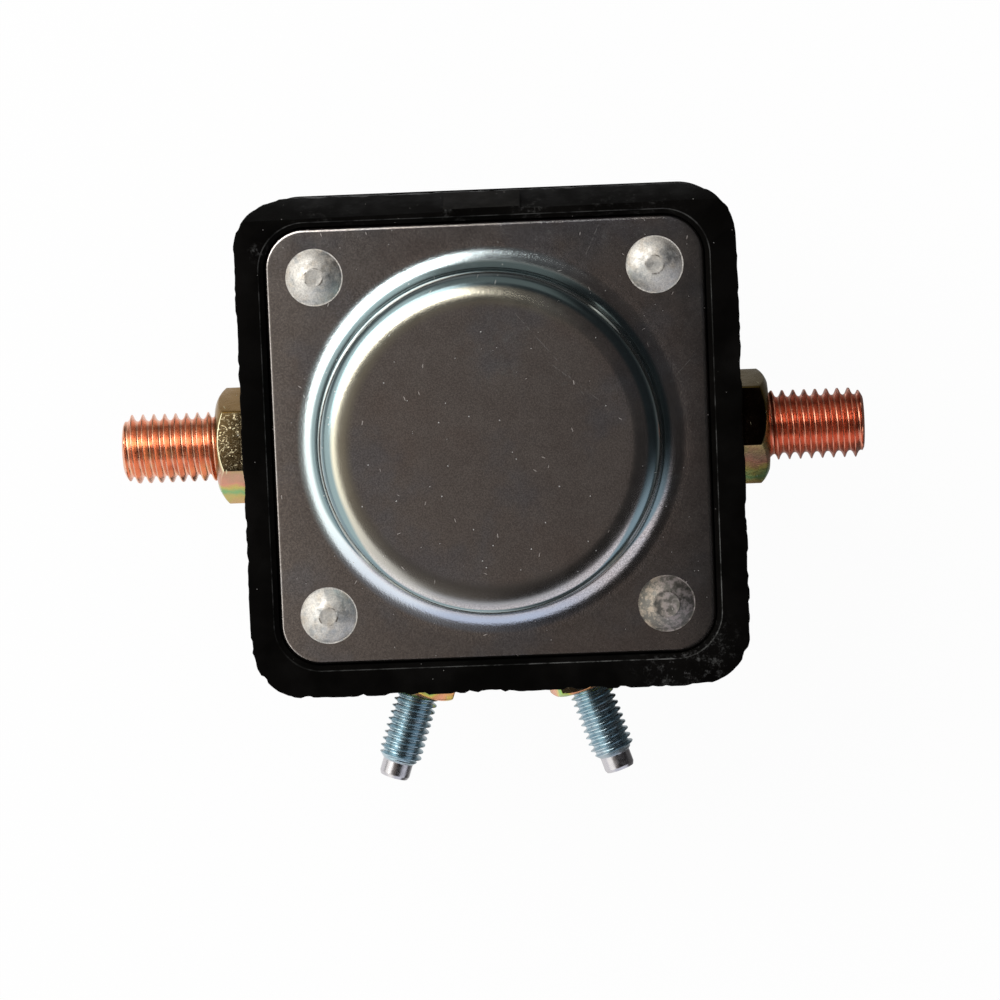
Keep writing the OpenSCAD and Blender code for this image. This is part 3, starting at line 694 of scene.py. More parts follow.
def plated_steel():
    wall = 18.85 * MM
    crease = 18.8 * MM
    stretched_foot = 21.2 * MM
    stretched_shoulder = 16.5 * MM

    def cover_tint_and_painted_light(tree, tint):
        """Painted highlights on the foot and on the crown bend, on the left; painted shade on the
        flat round the boss; a darker, bluer band along the drawn wall, partly the plating's tint
        and partly painted reflection, with a thin painted highlight line; long scratches and hazy
        patches on the flats.
        """
        reach = reach_from(tree, 0, 0)
        x, y, _ = xyz(object_place(tree))
        upper = y.span(-16, -6)
        lit = x.span(14, 2)
        wide = y.span(-16, -6, 0.5 * MM, 1.45 * MM)
        # Painted highlight: a pale blue band on the foot, on the left side, bluer towards the
        # bottom.
        outer = reach.span(19.2, 20.2) * reach.span(21.9, 21.3) * lit
        tint = blend(outer, tint, blend(upper, (0.54, 0.59, 0.68), (0.74, 0.85, 0.88)))
        # Painted shade: the flat round the boss is darker, but for its left end.
        flat = reach.span(21.8, 22.8) * x.span(-17, -7)
        tint = blend(flat * 0.16, tint, (0.10, 0.09, 0.09))
        # Painted highlight: a cream band on the crown bend, on the left side, greyer towards the
        # bottom.
        inner = reach.span(15.0, 16.2) * reach.span(18.6, 17.4) * lit
        cream = blend(y.span(-14, 0), (0.40, 0.39, 0.37), (0.78, 0.74, 0.60))
        tint = blend(inner, tint, cream)
        # A darker, bluer band along the drawn wall, wider towards the top: partly the plating's
        # tint, partly painted reflection.
        tint = blend((abs(reach - wall) / wide).ramp(1.1, 0.75), tint, (0.23, 0.31, 0.33))
        # Painted highlight: a thin pale line round the boss.
        line = abs(reach - crease).span(0.28, 0.1, 0.0, 0.7)
        tint = blend(line, tint, (0.62, 0.70, 0.70))
        lines = strongest([scratch_mark(tree, *mark) for mark in SCRATCHES])
        grit = noise_at(tree, 0.5).ramp(0.38, 0.6)
        hazy = strongest([reach_from(tree, across, along).span(radius, radius * 0.2)
                          for across, along, radius in HAZES])
        cloud = noise_at(tree, 0.9, detail=6.0, roughness=0.75).ramp(0.48, 0.72)
        tint = blend(hazy * cloud * 0.26, tint, (0.86, 0.98, 1.0))
        return blend(lines * grit, tint, (1.0, 1.0, 1.0))

    def stretched(tree, height):
        """Orange peel where the sheet was stretched, round the foot and on the shoulder."""
        reach = reach_from(tree, 0, 0)
        foot = abs(reach - stretched_foot).span(2.0, 0.5)
        shoulder = abs(reach - stretched_shoulder).span(1.0, 0.2, 0.0, 0.5)
        peel = noise_at(tree, 0.22, detail=2.0, roughness=0.6)
        return height + peel * (foot.most(shoulder) * 4.5)

    return metal("plated_steel", look().steel, (0.62, 0.52, 0.47), (0.50, 0.55, 0.64), 0.2,
                 grain=0.13, depth=0.0030, waves=2.0, wave_share=0.4, patch=9.0, drift=0.42,
                 scratched=0.2, scratch_length=1.6, scratch_width=0.03, dusty=0.5, worn=0,
                 shade=cover_tint_and_painted_light, relief=stretched, spangle=0.21, uneven=0.3)


def drawn_steel():
    return metal("drawn_steel", look().steel, (0.58, 0.52, 0.47), (0.52, 0.55, 0.60), 0.3,
                 grain=0.2, depth=0.006, waves=2.0, wave_share=1.0, scratched=0.3,
                 brushed=("drawn", 0.12), worn=0)


def stamped_steel():
    return metal("stamped_steel", look().steel, (0.60, 0.53, 0.46), (0.50, 0.55, 0.62), 0.3,
                 grain=0.2, depth=0.005, scratched=0.6, worn=0)


def rivet_aluminium():
    rivet = 19 * MM
    dimple_ring = 1.02 * MM

    def rivet_dirt_and_painted_light(tree, tint):
        """Broken dark rings round the dimples with a greyer disc inside, and a duller, stained
        lower right rivet whose stain is painted lighter and warmer on its left.
        """
        x, y, _ = xyz(object_place(tree))
        reach = vector_maths("LENGTH", vector_of(abs(x) - rivet, abs(y) - rivet), (0, 0, 0))
        # Dark broken rings round the dimples, and a greyer disc inside them.
        ring = abs(reach - dimple_ring).span(0.13, 0.03)
        broken = noise_at(tree, 0.9, detail=4.0).ramp(0.5, 0.62)
        tint = blend(ring * broken, tint, (0.16, 0.14, 0.12))
        tint = blend(reach.span(1.15, 0.9) * 0.4, tint, (0.42, 0.40, 0.37))
        stain = noise_at(tree, 0.8, detail=5.0, roughness=0.7).ramp(0.42, 0.62)
        # Painted light: the stain's pale patches are lighter and warmer on the rivet's left side.
        gold = blend(x.span(17, 19.5), (0.60, 0.52, 0.43), (0.48, 0.43, 0.42))
        return blend((x - y).span(24, 34), tint, blend(stain, (0.20, 0.19, 0.17), gold))

    return metal("rivet_aluminium", look().aluminium, (0.74, 0.68, 0.60), (0.50, 0.51, 0.51),
                 0.6, grain=0.13, depth=0.022, waves=0.8, wave_share=1.4, patch=1.3, drift=0.8,
                 scratched=1.0, scratch_length=0.9, scratch_width=0.03, dusty=0.3, worn=0,
                 shade=rivet_dirt_and_painted_light, spangle=0.14)


def painted_shade_right(tree):
    """Grows towards the right terminal: a mask for painted shade on the side away from the light.
    """
    x, _, _ = xyz(object_place(tree))
    return x.span(-12, 24)


def stud_copper():
    def painted_right_shade_copper(tree, tint):
        # Painted shade: deeper, darker copper towards the right terminal.
        return blend(painted_shade_right(tree), tint, (0.80, 0.30, 0.19))

    return metal("stud_copper", look().copper, (0.90, 0.60, 0.36), (0.70, 0.32, 0.21), 0.27,
                 grain=0.12, depth=0.006, waves=0.7, wave_share=1.6, patch=2.0, drift=0.6,
                 scratched=0.7, scratch_length=0.8, scratch_width=0.03, dusty=0, worn=0,
                 shade=painted_right_shade_copper)


def bare_copper():
    return metal("bare_copper", look().copper, (0.86, 0.55, 0.34), (0.62, 0.30, 0.20), 0.3,
                 grain=0.2, depth=0.006, scratched=0.6, worn=0)


def chromate():
    left_nut = -27 * MM
    cloudiness = 3.2 * MM

    def passivated_and_painted_light(tree, tint):
        """Bands of pink, gold and green on the near side; olive brown on the far side, painted
        shade; painted shade on the right nut; a painted dark reflection on the faces towards the
        viewer, under scored marks; a painted highlight on the left large nut's turned rim."""
        x, y, _ = xyz(object_place(tree))
        level = y + (noise_at(tree, 2.6) - 0.5) * cloudiness
        film = bands(level.span(-7.4, -2.6), (0.62, 0.30, 0.18), (0.50, 0.29, 0.20),
                     (0.20, (0.52, 0.42, 0.13)), (0.45, (0.20, 0.44, 0.18)),
                     (0.66, (0.56, 0.47, 0.12)), (0.84, (0.68, 0.29, 0.20)))
        tint = blend(level.span(-2.0, -3.2, 0.0, 0.9), tint, film)
        vivid = bands(noise_at(tree, 2.2, detail=1.0).ramp(0.3, 0.7),
                      (0.30, 0.62, 0.16), (1.0, 0.42, 0.24),
                      (0.35, (0.85, 0.70, 0.14)), (0.6, (0.90, 0.45, 0.16)))
        tint = blend(y.span(-20, -21), tint, vivid)
        # Painted shade: olive brown on the far side.
        tint = blend(level.span(-1.0, 3.5), tint, (0.26, 0.145, 0.032))
        # Painted shade: the right nut is darker, most on its upper half and on its front faces.
        dark = painted_shade_right(tree)
        tint = blend(dark * y.span(-3.2, 0, 0.1, 0.5), tint, (0.10, 0.10, 0.03))
        # Faces towards the viewer: real scored marks over a painted dark reflection.
        scored = noise_at(tree, 0.45, detail=5.0, roughness=0.75, distortion=1.2)
        front_marks_painted_dark = blend(scored.ramp(0.54, 0.64), (0.040, 0.027, 0.012), (0.50, 0.43, 0.28))
        front_marks_painted_dark = blend(dark, front_marks_painted_dark, (0.020, 0.012, 0.008))
        aside, _, front = along_faces(tree)
        tint = blend(front.ramp(0.80, 0.93), tint, front_marks_painted_dark)
        # Painted highlight: a pale line on the left large nut's turned rim.
        rim = abs(aside).ramp(0.25, 0.4) * (front.ramp(0.55, 0.8) * (x < left_nut))
        return blend(rim * 0.9, tint, (0.95, 0.88, 0.58))

    def dragged(tree, height):
        """Coarse marks of the bar that the nuts were cut from."""
        return height + noise_at(tree, 0.8, detail=4.0, roughness=0.7, distortion=1.5) * 1.3

    return metal("chromate", look().chromate, (0.62, 0.22, 0.17), (0.22, 0.40, 0.16), 0.24,
                 grain=0.16, depth=0.014, waves=1.0, wave_share=1.0, patch=2.4, drift=0.5,
                 scratched=1.0, scratch_length=1.4, scratch_width=0.05, dusty=0.2, worn=0.6,
                 bright=(0.80, 0.72, 0.48), shade=passivated_and_painted_light, relief=dragged)


def blue_zinc():
    def plain_point(tree, tint):
        """The plain points are greyer than the threads."""
        return blend(reach_from(tree, 0, 0).span(39.2, 39.6), tint, (0.60, 0.58, 0.60))

    return metal("blue_zinc", look().zinc, (0.60, 0.64, 0.67), (0.46, 0.56, 0.62), 0.26,
                 grain=0.12, depth=0.004, waves=0.7, wave_share=1.5, patch=2.0, drift=0.7,
                 scratched=0.4, scratch_length=0.8, scratch_width=0.03, dusty=0, worn=0,
                 shade=plain_point)


def core_iron():
    return metal("core_iron", (0.50, 0.49, 0.47), (0.46, 0.40, 0.34), (0.42, 0.45, 0.50), 0.3,
                 grain=0.2, depth=0.006, brushed=("turned", 0.08), worn=0.5)


def guide_brass():
    return metal("guide_brass", (0.78, 0.62, 0.30), (0.72, 0.48, 0.24), (0.66, 0.62, 0.34), 0.22,
                 grain=0.2, depth=0.004, brushed=("drawn", 0.1))


def spring_steel():
    return metal("spring_steel", (0.56, 0.55, 0.53), (0.50, 0.42, 0.34), (0.42, 0.46, 0.54), 0.22,
                 grain=0.12, depth=0.004, patch=2.0)


def solid(name, base, second, roughness, patch, grain, depth, dusty=0.5, gloss=0.5, relief=None,
          stain=None):
    """A moulding, a sheet or a lacquer: two mottled tints, grain and dust. relief(tree) adds to
    the height, and stain(tree, tint) changes the tint last."""
    if name in MATERIALS:
        return MATERIALS[name]
    material, tree, shader = start_finish(name)
    shader.inputs["Specular IOR Level"].default_value = gloss
    skin_of = use(tree, "grain", Grain=grain, Waves=3.0, Wave_share=0.6)
    spread = noise_at(tree, patch, detail=5.0).ramp(0.4, 0.65)
    tint = blend(spread, rgba(base), rgba(second))
    dust = use(tree, "dust", Amount=dusty)
    tint = blend(dust["Film"] * 0.06, tint, (0.20, 0.19, 0.18))
    tint = blend(dust["Specks"], tint, (0.22, 0.21, 0.20))
    if stain:
        tint = stain(tree, tint)
    rough = skin_of["Mottle"].ramp(0.3, 0.7, roughness * 0.85, roughness * 1.2)
    height = skin_of["Height"]
    if relief:
        height = height + relief(tree)
    return close_finish(name, material, shader, tint, rough, height, depth)


def black_phenolic():
    def rubbed_places(tree, tint):
        """Grey dust that stays on the lower right corner and along the top bevel."""
        grit = noise_at(tree, 0.9, detail=6.0, roughness=0.8).ramp(0.52, 0.75)
        places = strongest([reach_from(tree, x, y).span(radius, radius * 0.2, 0.0, amount)
                            for x, y, radius, amount in RUBBED])
        _, _, front = along_faces(tree)
        return blend(places * grit * front.ramp(0.2, 0.35), tint, (0.085, 0.085, 0.083))

    return solid("black_phenolic", look().black, (0.0022, 0.0019, 0.0017), 0.5, 6.0, 0.25, 0.012,
                 dusty=0.2, gloss=0.02, stain=rubbed_places)


def rubbed_phenolic():
    def broken(tree, tint):
        """A painted highlight: patchy grey, stronger towards the lower right."""
        x, y, _ = xyz(object_place(tree))
        patchy = noise_at(tree, 3.0, detail=5.0, roughness=0.7).ramp(0.42, 0.62)
        grey = blend(patchy, tint, (0.10, 0.10, 0.097))
        return blend((x - y).span(10, 45, 0.35, 1.0), tint, grey)

    return solid("rubbed_phenolic", look().black, (0.012, 0.012, 0.011), 0.5, 2.0, 0.2, 0.02,
                 gloss=0.1, stain=broken)


def sheared_phenolic():
    return solid("sheared_phenolic", (0.0060, 0.0056, 0.0052), (0.0095, 0.0088, 0.008), 0.6, 1.0,
                 0.12, 0.02, dusty=0.6, gloss=0.03)


def bobbin_nylon():
    return solid("bobbin_nylon", (0.72, 0.68, 0.56), (0.66, 0.62, 0.50), 0.45, 8.0, 0.3, 0.006)


def winding_wire():
    def turns(tree):
        """One ridge for each turn of the wire."""
        wire = 0.5 * MM
        _, _, z = xyz(object_place(tree))
        return maths("SINE", z * (2 * math.pi / wire)) * 6.0

    return solid("winding_wire", (0.42, 0.16, 0.06), (0.50, 0.20, 0.08), 0.28, 3.0, 0.3, 0.02,
                 dusty=0.2, relief=turns)


def lead_wire():
    return solid("lead_wire", (0.45, 0.17, 0.07), (0.36, 0.13, 0.05), 0.3, 2.0, 0.3, 0.004)


def gasket_sheet():
    return solid("gasket_sheet", (0.030, 0.028, 0.026), (0.055, 0.051, 0.047), 0.8, 1.2, 0.15,
                 0.03)


def insulator_fibre():
    return solid("insulator_fibre", (0.26, 0.075, 0.035), (0.20, 0.055, 0.028), 0.55, 1.5, 0.12,
                 0.012)


def look():
    return bpy.context.scene.starter_solenoid.finish


def settle(piece, body, slot, *nodes):
    """Puts a new piece on its body and in the place of its solids, which it hides. Its slot is not
    used.
    """
    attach(piece, body)
    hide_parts(*nodes)


def dress(node, finish, edge):
    """Gives a solid of the frame its finish and small rounded edges."""
    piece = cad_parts[node]
    for place in piece.material_slots:
        place.material = finish
    if edge:
        join = piece.modifiers.new("join", "WELD")
        join.merge_threshold = 0.002 * MM
        soft = piece.modifiers.new("edges", "BEVEL")
        soft.width = edge * MM
        soft.segments = 2
        soft.limit_method = "ANGLE"
        soft.angle_limit = math.radians(40)
        soft.harden_normals = True


def quarter_place(index, spacing):
    """Middle of one of the four rivets."""
    signs = ((-1, 1), (1, 1), (1, -1), (-1, -1))[index]
    return Vector((signs[0] * spacing / 2, signs[1] * spacing / 2, 0))


class SOLENOID_OT_front_cover(bpy.types.Operator):
    """Press the cover out of one sheet: plate, drawn boss and rolled edges"""

    bl_idname = "solenoid.front_cover"
    bl_label = "Front cover"

    def execute(self, context):
        cover = context.scene.starter_solenoid.cover
        housing = context.scene.starter_solenoid.housing
        rivets = context.scene.starter_solenoid.rivets
        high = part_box("front_cover")[1]
        half = housing.pocket - cover.edge_gap
        face = high.z - cover.boss_height
        sheet = cover.sheet
        wall = cover.boss_radius
        upright = math.pi / 2
        guide = rounded_square(half, cover.corner, face)
        top = (wall - cover.crown * math.sin(cover.bend)
               - cover.shoulder * (1 - math.sin(cover.bend)), high.z)
        outline = bend(top, cover.crown, 0, cover.bend, 8)
        outline += bend(outline[-1], cover.shoulder, cover.bend, upright, 14)
        foot_high = (cover.root * math.cos(cover.steep)
                     + cover.foot * (math.cos(cover.bend) - math.cos(cover.steep))
                     + cover.toe * (1 - math.cos(cover.bend)))
        outline.append((wall, face + foot_high))
        outline += bend(outline[-1], cover.root, upright, cover.steep, 7)
        outline += bend(outline[-1], cover.foot, cover.steep, cover.bend, 6)
        outline += bend(outline[-1], cover.toe, cover.bend, 0, 8)
        rings = [ring_like(guide, top[0] - 0.5 * MM, high.z), ring_like(guide, *top)]
        rings += [ring_like(guide, r, z) for r, z in outline]
        rings.append(ring_like(guide, outline[-1][0] + 0.3 * MM, face))
        for i in range(7):
            a = upright * i / 6
            inset = cover.roll * (1 - math.sin(a))
            drop = cover.roll_drop * (1 - math.cos(a))
            rings.append(rounded_square(half - inset, cover.corner - inset, face - drop))
        rings.append(rounded_square(half, cover.corner, face - sheet + 0.05 * MM))
        rings.append(rounded_square(half - 0.05 * MM, cover.corner, face - sheet))
        inner_foot = (wall + cover.foot / 2, face + cover.foot / 2)
        for r, z in arc(inner_foot, cover.foot / 2 + sheet, 270, 180, 8):
            rings.append(ring_like(guide, r, z))
        inner_turn = 3.3 * MM
        for r, z in arc((wall - inner_turn, high.z - inner_turn), inner_turn - sheet, 0, 90, 6):
            rings.append(ring_like(guide, r, z))
        points, faces = skin(rings)
        piece = new_piece("pressed_cover", points, faces, plated_steel(), sharp=50)
        holes = []
        for i in range(4):
            place = Matrix.Translation(quarter_place(i, rivets.spacing))
            holes.append(rod(rivets.shank / 2 + 0.1 * MM, face - 2 * sheet, face + sheet,
                             place, 48))
        cut_away(piece, holes)
        smooth(piece.data, 50)
        settle(piece, CASE, "plated_steel", "front_cover")
        return {"FINISHED"}


def part_way(value, start, width):
    """How far a value has come from a start over a width, from 0 to 1."""
    return min(max((value - start) / width, 0.0), 1.0)


def trimmed_wall(housing, half, level):
    """One ring of the housing's outer wall, which wanders where the flash was trimmed off. The
    right and lower sides stand out a little more than the others."""
    ring = []
    for p in rounded_square(half, housing.corner, level):
        along = Vector((p.x, p.y, 0)).normalized()
        spot = Vector((p.x, p.y, level * 0.25))
        slow, fine, flake = (noise.noise(spot / (grain * MM) + Vector(shift)) for grain, shift in (
            (3.4, (2, 5, 8)), (0.7, (7, 3, 1)), (1.5, (3, 9, 5))))
        broken = part_way(flake, 0.05, 0.12)
        lower = part_way(along.x - along.y, 0.0, 1.4)
        depth = housing.wander * (0.55 - 0.5 * lower + 0.25 * slow + 0.22 * fine)
        depth += housing.chip * broken * (0.3 + 0.5 * max(-along.y, 0.0))
        stand = Vector((part_way(along.x, 0.6, 0.2) * housing.stand,
                        -part_way(-along.y, 0.6, 0.2) * housing.stand, 0))
        ring.append(p + stand - along * max(depth, 0.0))
    return ring


class SOLENOID_OT_housing(bpy.types.Operator):
    """Mould the housing: wall, rim, cover pocket, chamber and the seats of the terminals"""

    bl_idname = "solenoid.housing"
    bl_label = "Housing"

    def execute(self, context):
        settings = context.scene.starter_solenoid
        housing = settings.housing
        low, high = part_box("housing")
        half = high.x
        gasket_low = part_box("cover_gasket")[0].z
        chamber_floor = low.z + FLOOR
        bore = 6.68 * MM
        chamber = 19.0 * MM
        small = housing.edge_round
        guide = rounded_square(half, housing.corner, low.z)
        rings = [ring_like(guide, bore, low.z)]
        for out, up in arc((0, 0), small, -90, 0, 3):
            rings.append(rounded_square(half - small + out, housing.corner - small + out,
                                        low.z + small + up))
        levels = 16
        for k in range(levels + 1):
            z = low.z + 1.2 * small + (high.z - low.z - 2.4 * small) * k / levels
            rings.append(trimmed_wall(housing, half, z))
        for out, up in arc((0, 0), small, 0, 90, 4):
            ring = trimmed_wall(housing, half, high.z - small)
            for p in ring:
                aside = Vector((p.x, p.y, 0)).normalized()
                p -= aside * (small - out)
                p.z = high.z - small + up
            rings.append(ring)
        rim = housing.rim_inner
        rim_corner = housing.pocket_corner + rim - housing.pocket
        rings.append(rounded_square(rim + 0.07 * MM, rim_corner, high.z))
        rings.append(rounded_square(rim - 0.03 * MM, rim_corner, high.z - 0.07 * MM))
        drop = rim - housing.pocket
        rings.append(rounded_square(housing.pocket, housing.pocket_corner, high.z - drop))
        rings.append(rounded_square(housing.pocket, housing.pocket_corner, gasket_low))
        rings.append(ring_like(guide, chamber, gasket_low))
        rings.append(ring_like(guide, chamber, chamber_floor))
        rings.append(ring_like(guide, bore, chamber_floor))
        points, faces = skin(rings, closed=True)
        piece = new_piece("moulded_housing", points, faces, black_phenolic(), sharp=30)
        for extra in (rubbed_phenolic(), sheared_phenolic()):
            piece.data.materials.append(extra)
        # The thin strip at the top of the rim's inner edge gets the painted highlight.
        for face in piece.data.polygons:
            drop = high.z - face.center.z
            reach = max(abs(face.center.x), abs(face.center.y))
            if 0.02 * MM < drop < 0.06 * MM and reach < rim + 0.2 * MM:
                face.material_index = 1
        cut_away(piece, housing_cuts(settings, low, high))
        smooth(piece.data, 30)
        settle(piece, CASE, "black_phenolic", "housing")
        return {"FINISHED"}


def housing_cuts(settings, low, high):
    """Solids that are taken out of the moulding: the top bevel and every hole and seat."""
    housing = settings.housing
    studs = settings.studs
    rivets = settings.rivets
    half = high.x
    cuts = []
    over = 1.0 * MM
    middle_width = (housing.bevel_left + housing.bevel_right) / 2
    slope = Vector((middle_width, housing.bevel_depth))
    across = housing.pad_height * slope.length / housing.bevel_depth
    back = housing.pad_height * slope.length / middle_width
    pad = housing.pad_width / 2
    for start, end, lift_y, lift_z, finish in (
        (-half - over, -pad, 0, 0, 0), (-pad, pad, across, back, 2), (pad, half + over, 0, 0, 0),
    ):
        points = []
        for x in (start, end):
            part = (x + half) / (2 * half)
            width = housing.bevel_left + (housing.bevel_right - housing.bevel_left) * part
            for y, z in (
                (half - width + lift_y, high.z), (half - width + lift_y, high.z + over),
                (half + over, high.z + over), (half + over, high.z - housing.bevel_depth + lift_z),
                (half, high.z - housing.bevel_depth + lift_z),
            ):
                points.append(Vector((x, y, z)))
        n = 5
        faces = [tuple(range(n)), tuple(range(n, 2 * n))[::-1]]
        faces += [(i, i + n, (i + 1) % n + n, (i + 1) % n) for i in range(n)]
        cuts.append((points, faces, finish))
    stud_z = axis_of("terminal_nuts")
    small_z = axis_of("control_nuts")
    gap = 0.1 * MM
    ceiling = high.z - 2.9 * MM
    head_side, head_depth, head_end = 6.5 * MM, 4.6 * MM, 20 * MM
    for angle in (0, math.pi):
        turn = Matrix.Rotation(angle, 4, "Z")
        cuts.append(block((0, -head_side - gap, stud_z - head_depth - gap),
                          (head_end, head_side + gap, ceiling), turn))
        place = outward(angle, stud_z)
        cuts.append(rod(studs.large_diameter / 2 + gap, 15 * MM, half + over, place, 64))
    nut_r = studs.small_nut / math.sqrt(3) + 0.6 * MM
    inside = 12 * MM
    for side in (-1, 1):
        angle = -math.pi / 2 + side * studs.small_angle
        place = outward(angle, small_z)
        cuts.append(rod(studs.small_diameter / 2 + gap, inside, half + 4 * MM, place, 48))
        cuts.append(rod(SMALL_HEAD + gap, inside, HEAD_SEAT, place, 48))
        cuts.append(rod(nut_r, studs.small_nut_seat, half + 6 * MM, place, 64))
    strip_start, strip_side = 10 * MM, 2.8 * MM
    turn = Matrix.Rotation(-math.pi / 2 + studs.small_angle, 4, "Z")
    cuts.append(block((strip_start, -strip_side, small_z - strip_side),
                      (HEAD_SEAT, strip_side, ceiling), turn))
    lead_place, lead_hole = 17.15 * MM, 0.65 * MM
    turn = Matrix.Rotation(-math.pi / 2 - studs.small_angle, 4, "Z")
    lead = turn @ Matrix.Translation((lead_place, 0, 0))
    cuts.append(rod(lead_hole, low.z - over, low.z + FLOOR + over, lead, 24))
    for i in range(4):
        place = Matrix.Translation(quarter_place(i, rivets.spacing))
        cuts.append(rod(rivets.shank / 2 + gap, low.z - over, high.z, place, 48))
    return cuts


class SOLENOID_OT_rivets(bpy.types.Operator):
    """Set the four rivets, each head a little different from its neighbours"""

    bl_idname = "solenoid.rivets"
    bl_label = "Rivets"

    def execute(self, context):
        rivets = context.scene.starter_solenoid.rivets
        low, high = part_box("corner_rivets")
        plate = high.z - rivets.dome
        grown = ([], [])
        head = rivets.head / 2 + 0.05 * MM
        round_r = (head ** 2 + rivets.dome ** 2) / (2 * rivets.dome)
        dimples = (1.05, 0.95, 1.45, 1.0)
        for i in range(4):
            dimple = dimples[i] * MM
            dished = high.z - 0.12 * MM
            section = [(dimple * 0.55, dished - 0.03 * MM), (dimple * 0.8, dished - 0.02 * MM),
                       (dimple * 0.97, dished + 0.01 * MM)]
            lip = dimple * 1.08
            steps = 18
            for k in range(steps + 1):
                r = lip + (head - 0.12 * MM - lip) * k / steps
                section.append((r, high.z - round_r + math.sqrt(round_r ** 2 - r ** 2)))
            shank, foot, foot_top = rivets.shank / 2, rivets.foot / 2, low.z + rivets.foot_height
            section += [(head, plate + 0.14 * MM), (head - 0.03 * MM, plate + 0.04 * MM),
                        (head - 0.15 * MM, plate), (shank, plate), (shank, foot_top),
                        (foot - 0.2 * MM, foot_top), (foot, foot_top - 0.25 * MM),
                        (foot - 0.15 * MM, low.z + 0.3 * MM), (foot - 0.7 * MM, low.z)]
            points, faces = lathe(section, 96)
            place = quarter_place(i, rivets.spacing)
            for p in points:
                if p.z > plate + 0.1 * MM:
                    lump = noise.noise(Vector((p.x, p.y, i * MM)) / (1.1 * MM))
                    broad = noise.noise(Vector((p.x, p.y, 5 * MM + i * MM)) / (3.0 * MM))
                    settled = min((p.z - plate - 0.1 * MM) / (0.6 * MM), 1.0)
                    p.z -= (0.020 * (0.5 + lump) + 0.035 * (0.5 + broad)) * MM * settled
            add_shape(grown, points, faces, Matrix.Translation(place))
        piece = new_piece("set_rivets", grown[0], grown[1], rivet_aluminium(), sharp=40)
        settle(piece, CASE, "rivet_aluminium", "corner_rivets")
        return {"FINISHED"}


def thread_profile(pitch):
    """Places along one pitch and depths below the crest, of a rolled thread with round roots."""
    depth = 0.6134 * pitch
    return [
        (-0.05, 0.01 * depth), (0.0, 0.0), (0.05, 0.01 * depth), (0.09, 0.14 * depth),
        (0.15, 0.38 * depth), (0.22, 0.62 * depth), (0.29, 0.80 * depth), (0.36, 0.92 * depth),
        (0.43, 0.98 * depth), (0.50, depth), (0.57, 0.98 * depth), (0.64, 0.92 * depth),
        (0.71, 0.80 * depth), (0.78, 0.62 * depth), (0.85, 0.38 * depth), (0.91, 0.14 * depth),
    ]


def threaded_bar(pitch, radius, start, end, limit, steps=80):
    """A bar along Z with a real helical thread. limit(z) gives the most that its radius may be
    and the share of the thread's depth that is cut there."""
    profile = thread_profile(pitch)
    width = len(profile)
    rounds = int(math.ceil((end - start) / pitch)) + 2
    rows = rounds * steps
    points = []
    for row in range(rows + steps):
        a = 2 * math.pi * row / steps
        for t, depth in profile:
            z = start - pitch + pitch * (row / steps + t)
            most, cut = limit(z)
            r = min(radius - depth * cut, most)
            points.append(Vector((r * math.cos(a), r * math.sin(a), z)))
    faces = []
    for row in range(rows - 1):
        for j in range(width):
            a = row * width + j
            b = a + width
            if j + 1 < width:
                faces.append((a, a + 1, b + 1, b))
            else:
                faces.append((a, (row + steps) * width, (row + steps + 1) * width, b))
    return trim_bar(points, faces, start, end)


def trim_bar(points, faces, start, end):
    """Cuts a helical skin square at both ends, closes it and gives its points and faces."""
    shape = shape_from(points, faces)
    loose = [v for v in shape.verts if not v.link_faces]
    bmesh.ops.delete(shape, geom=loose, context="VERTS")
    for level, up in ((start, -1), (end, 1)):
        everything = list(shape.verts) + list(shape.edges) + list(shape.faces)
        bmesh.ops.bisect_plane(shape, geom=everything, dist=1e-9, plane_co=(0, 0, level),
                               plane_no=(0, 0, up), clear_outer=True)
        rim = [e for e in shape.edges if e.is_boundary
               and all(abs(v.co.z - level) < 1e-7 for v in e.verts)]
        bmesh.ops.holes_fill(shape, edges=rim, sides=0)
    bmesh.ops.recalc_face_normals(shape, faces=shape.faces)
    return taken_from(shape)


class SOLENOID_OT_large_studs(bpy.types.Operator):
    """Roll the two copper studs and forge their block-shaped heads"""

    bl_idname = "solenoid.large_studs"
    bl_label = "Large studs"

    def execute(self, context):
        studs = context.scene.starter_solenoid.studs
        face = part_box("housing")[1].x + studs.large_nut_height
        axis = axis_of("terminal_nuts")
        bar_start, head_end = 19.0 * MM, 20.0 * MM
        worn_off, domed, lead_in = 0.28 * MM, 0.95 * MM, 0.5 * MM
        for node, angle in (("right_terminal_stud", 0), ("left_terminal_stud", math.pi)):
            low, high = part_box(node)
            tip = max(high.x, -low.x) - worn_off
            core = studs.large_core / 2
            crest = studs.large_diameter / 2

            def limit(z):
                if z < face - lead_in:
                    return core, 0.0
                runout = min((z - face + lead_in) / studs.large_pitch, 1.0)
                close = max(0.0, z - (tip - domed)) / domed
                point = crest * (1 - 0.26 * close ** 2)
                return min(core + (crest - core) * min(runout * 1.6, 1.0), point), runout

            points, faces = threaded_bar(studs.large_pitch, crest, bar_start, tip, limit)
            place = outward(angle, axis)
            piece = new_piece("copper_" + node, [place @ p for p in points], faces,
                              stud_copper(), sharp=32)
            inner = min(abs(low.x), abs(high.x))
            head = block((inner, low.y, low.z), (head_end, high.y, high.z),
                         Matrix.Rotation(angle, 4, "Z"))
            weld_on(piece, rounded_block(head, 0.5 * MM))
            smooth(piece.data, 32)
            settle(piece, CASE, "terminal_copper", node)
        return {"FINISHED"}


def rounded_block(shape_of, radius):
    """A block with rounded edges, from its corners and faces."""
    shape = shape_from(*shape_of)
    bmesh.ops.recalc_face_normals(shape, faces=shape.faces)
    bmesh.ops.bevel(shape, geom=list(shape.edges), offset=radius, segments=3, profile=0.5,
                    affect="EDGES")
    return taken_from(shape)


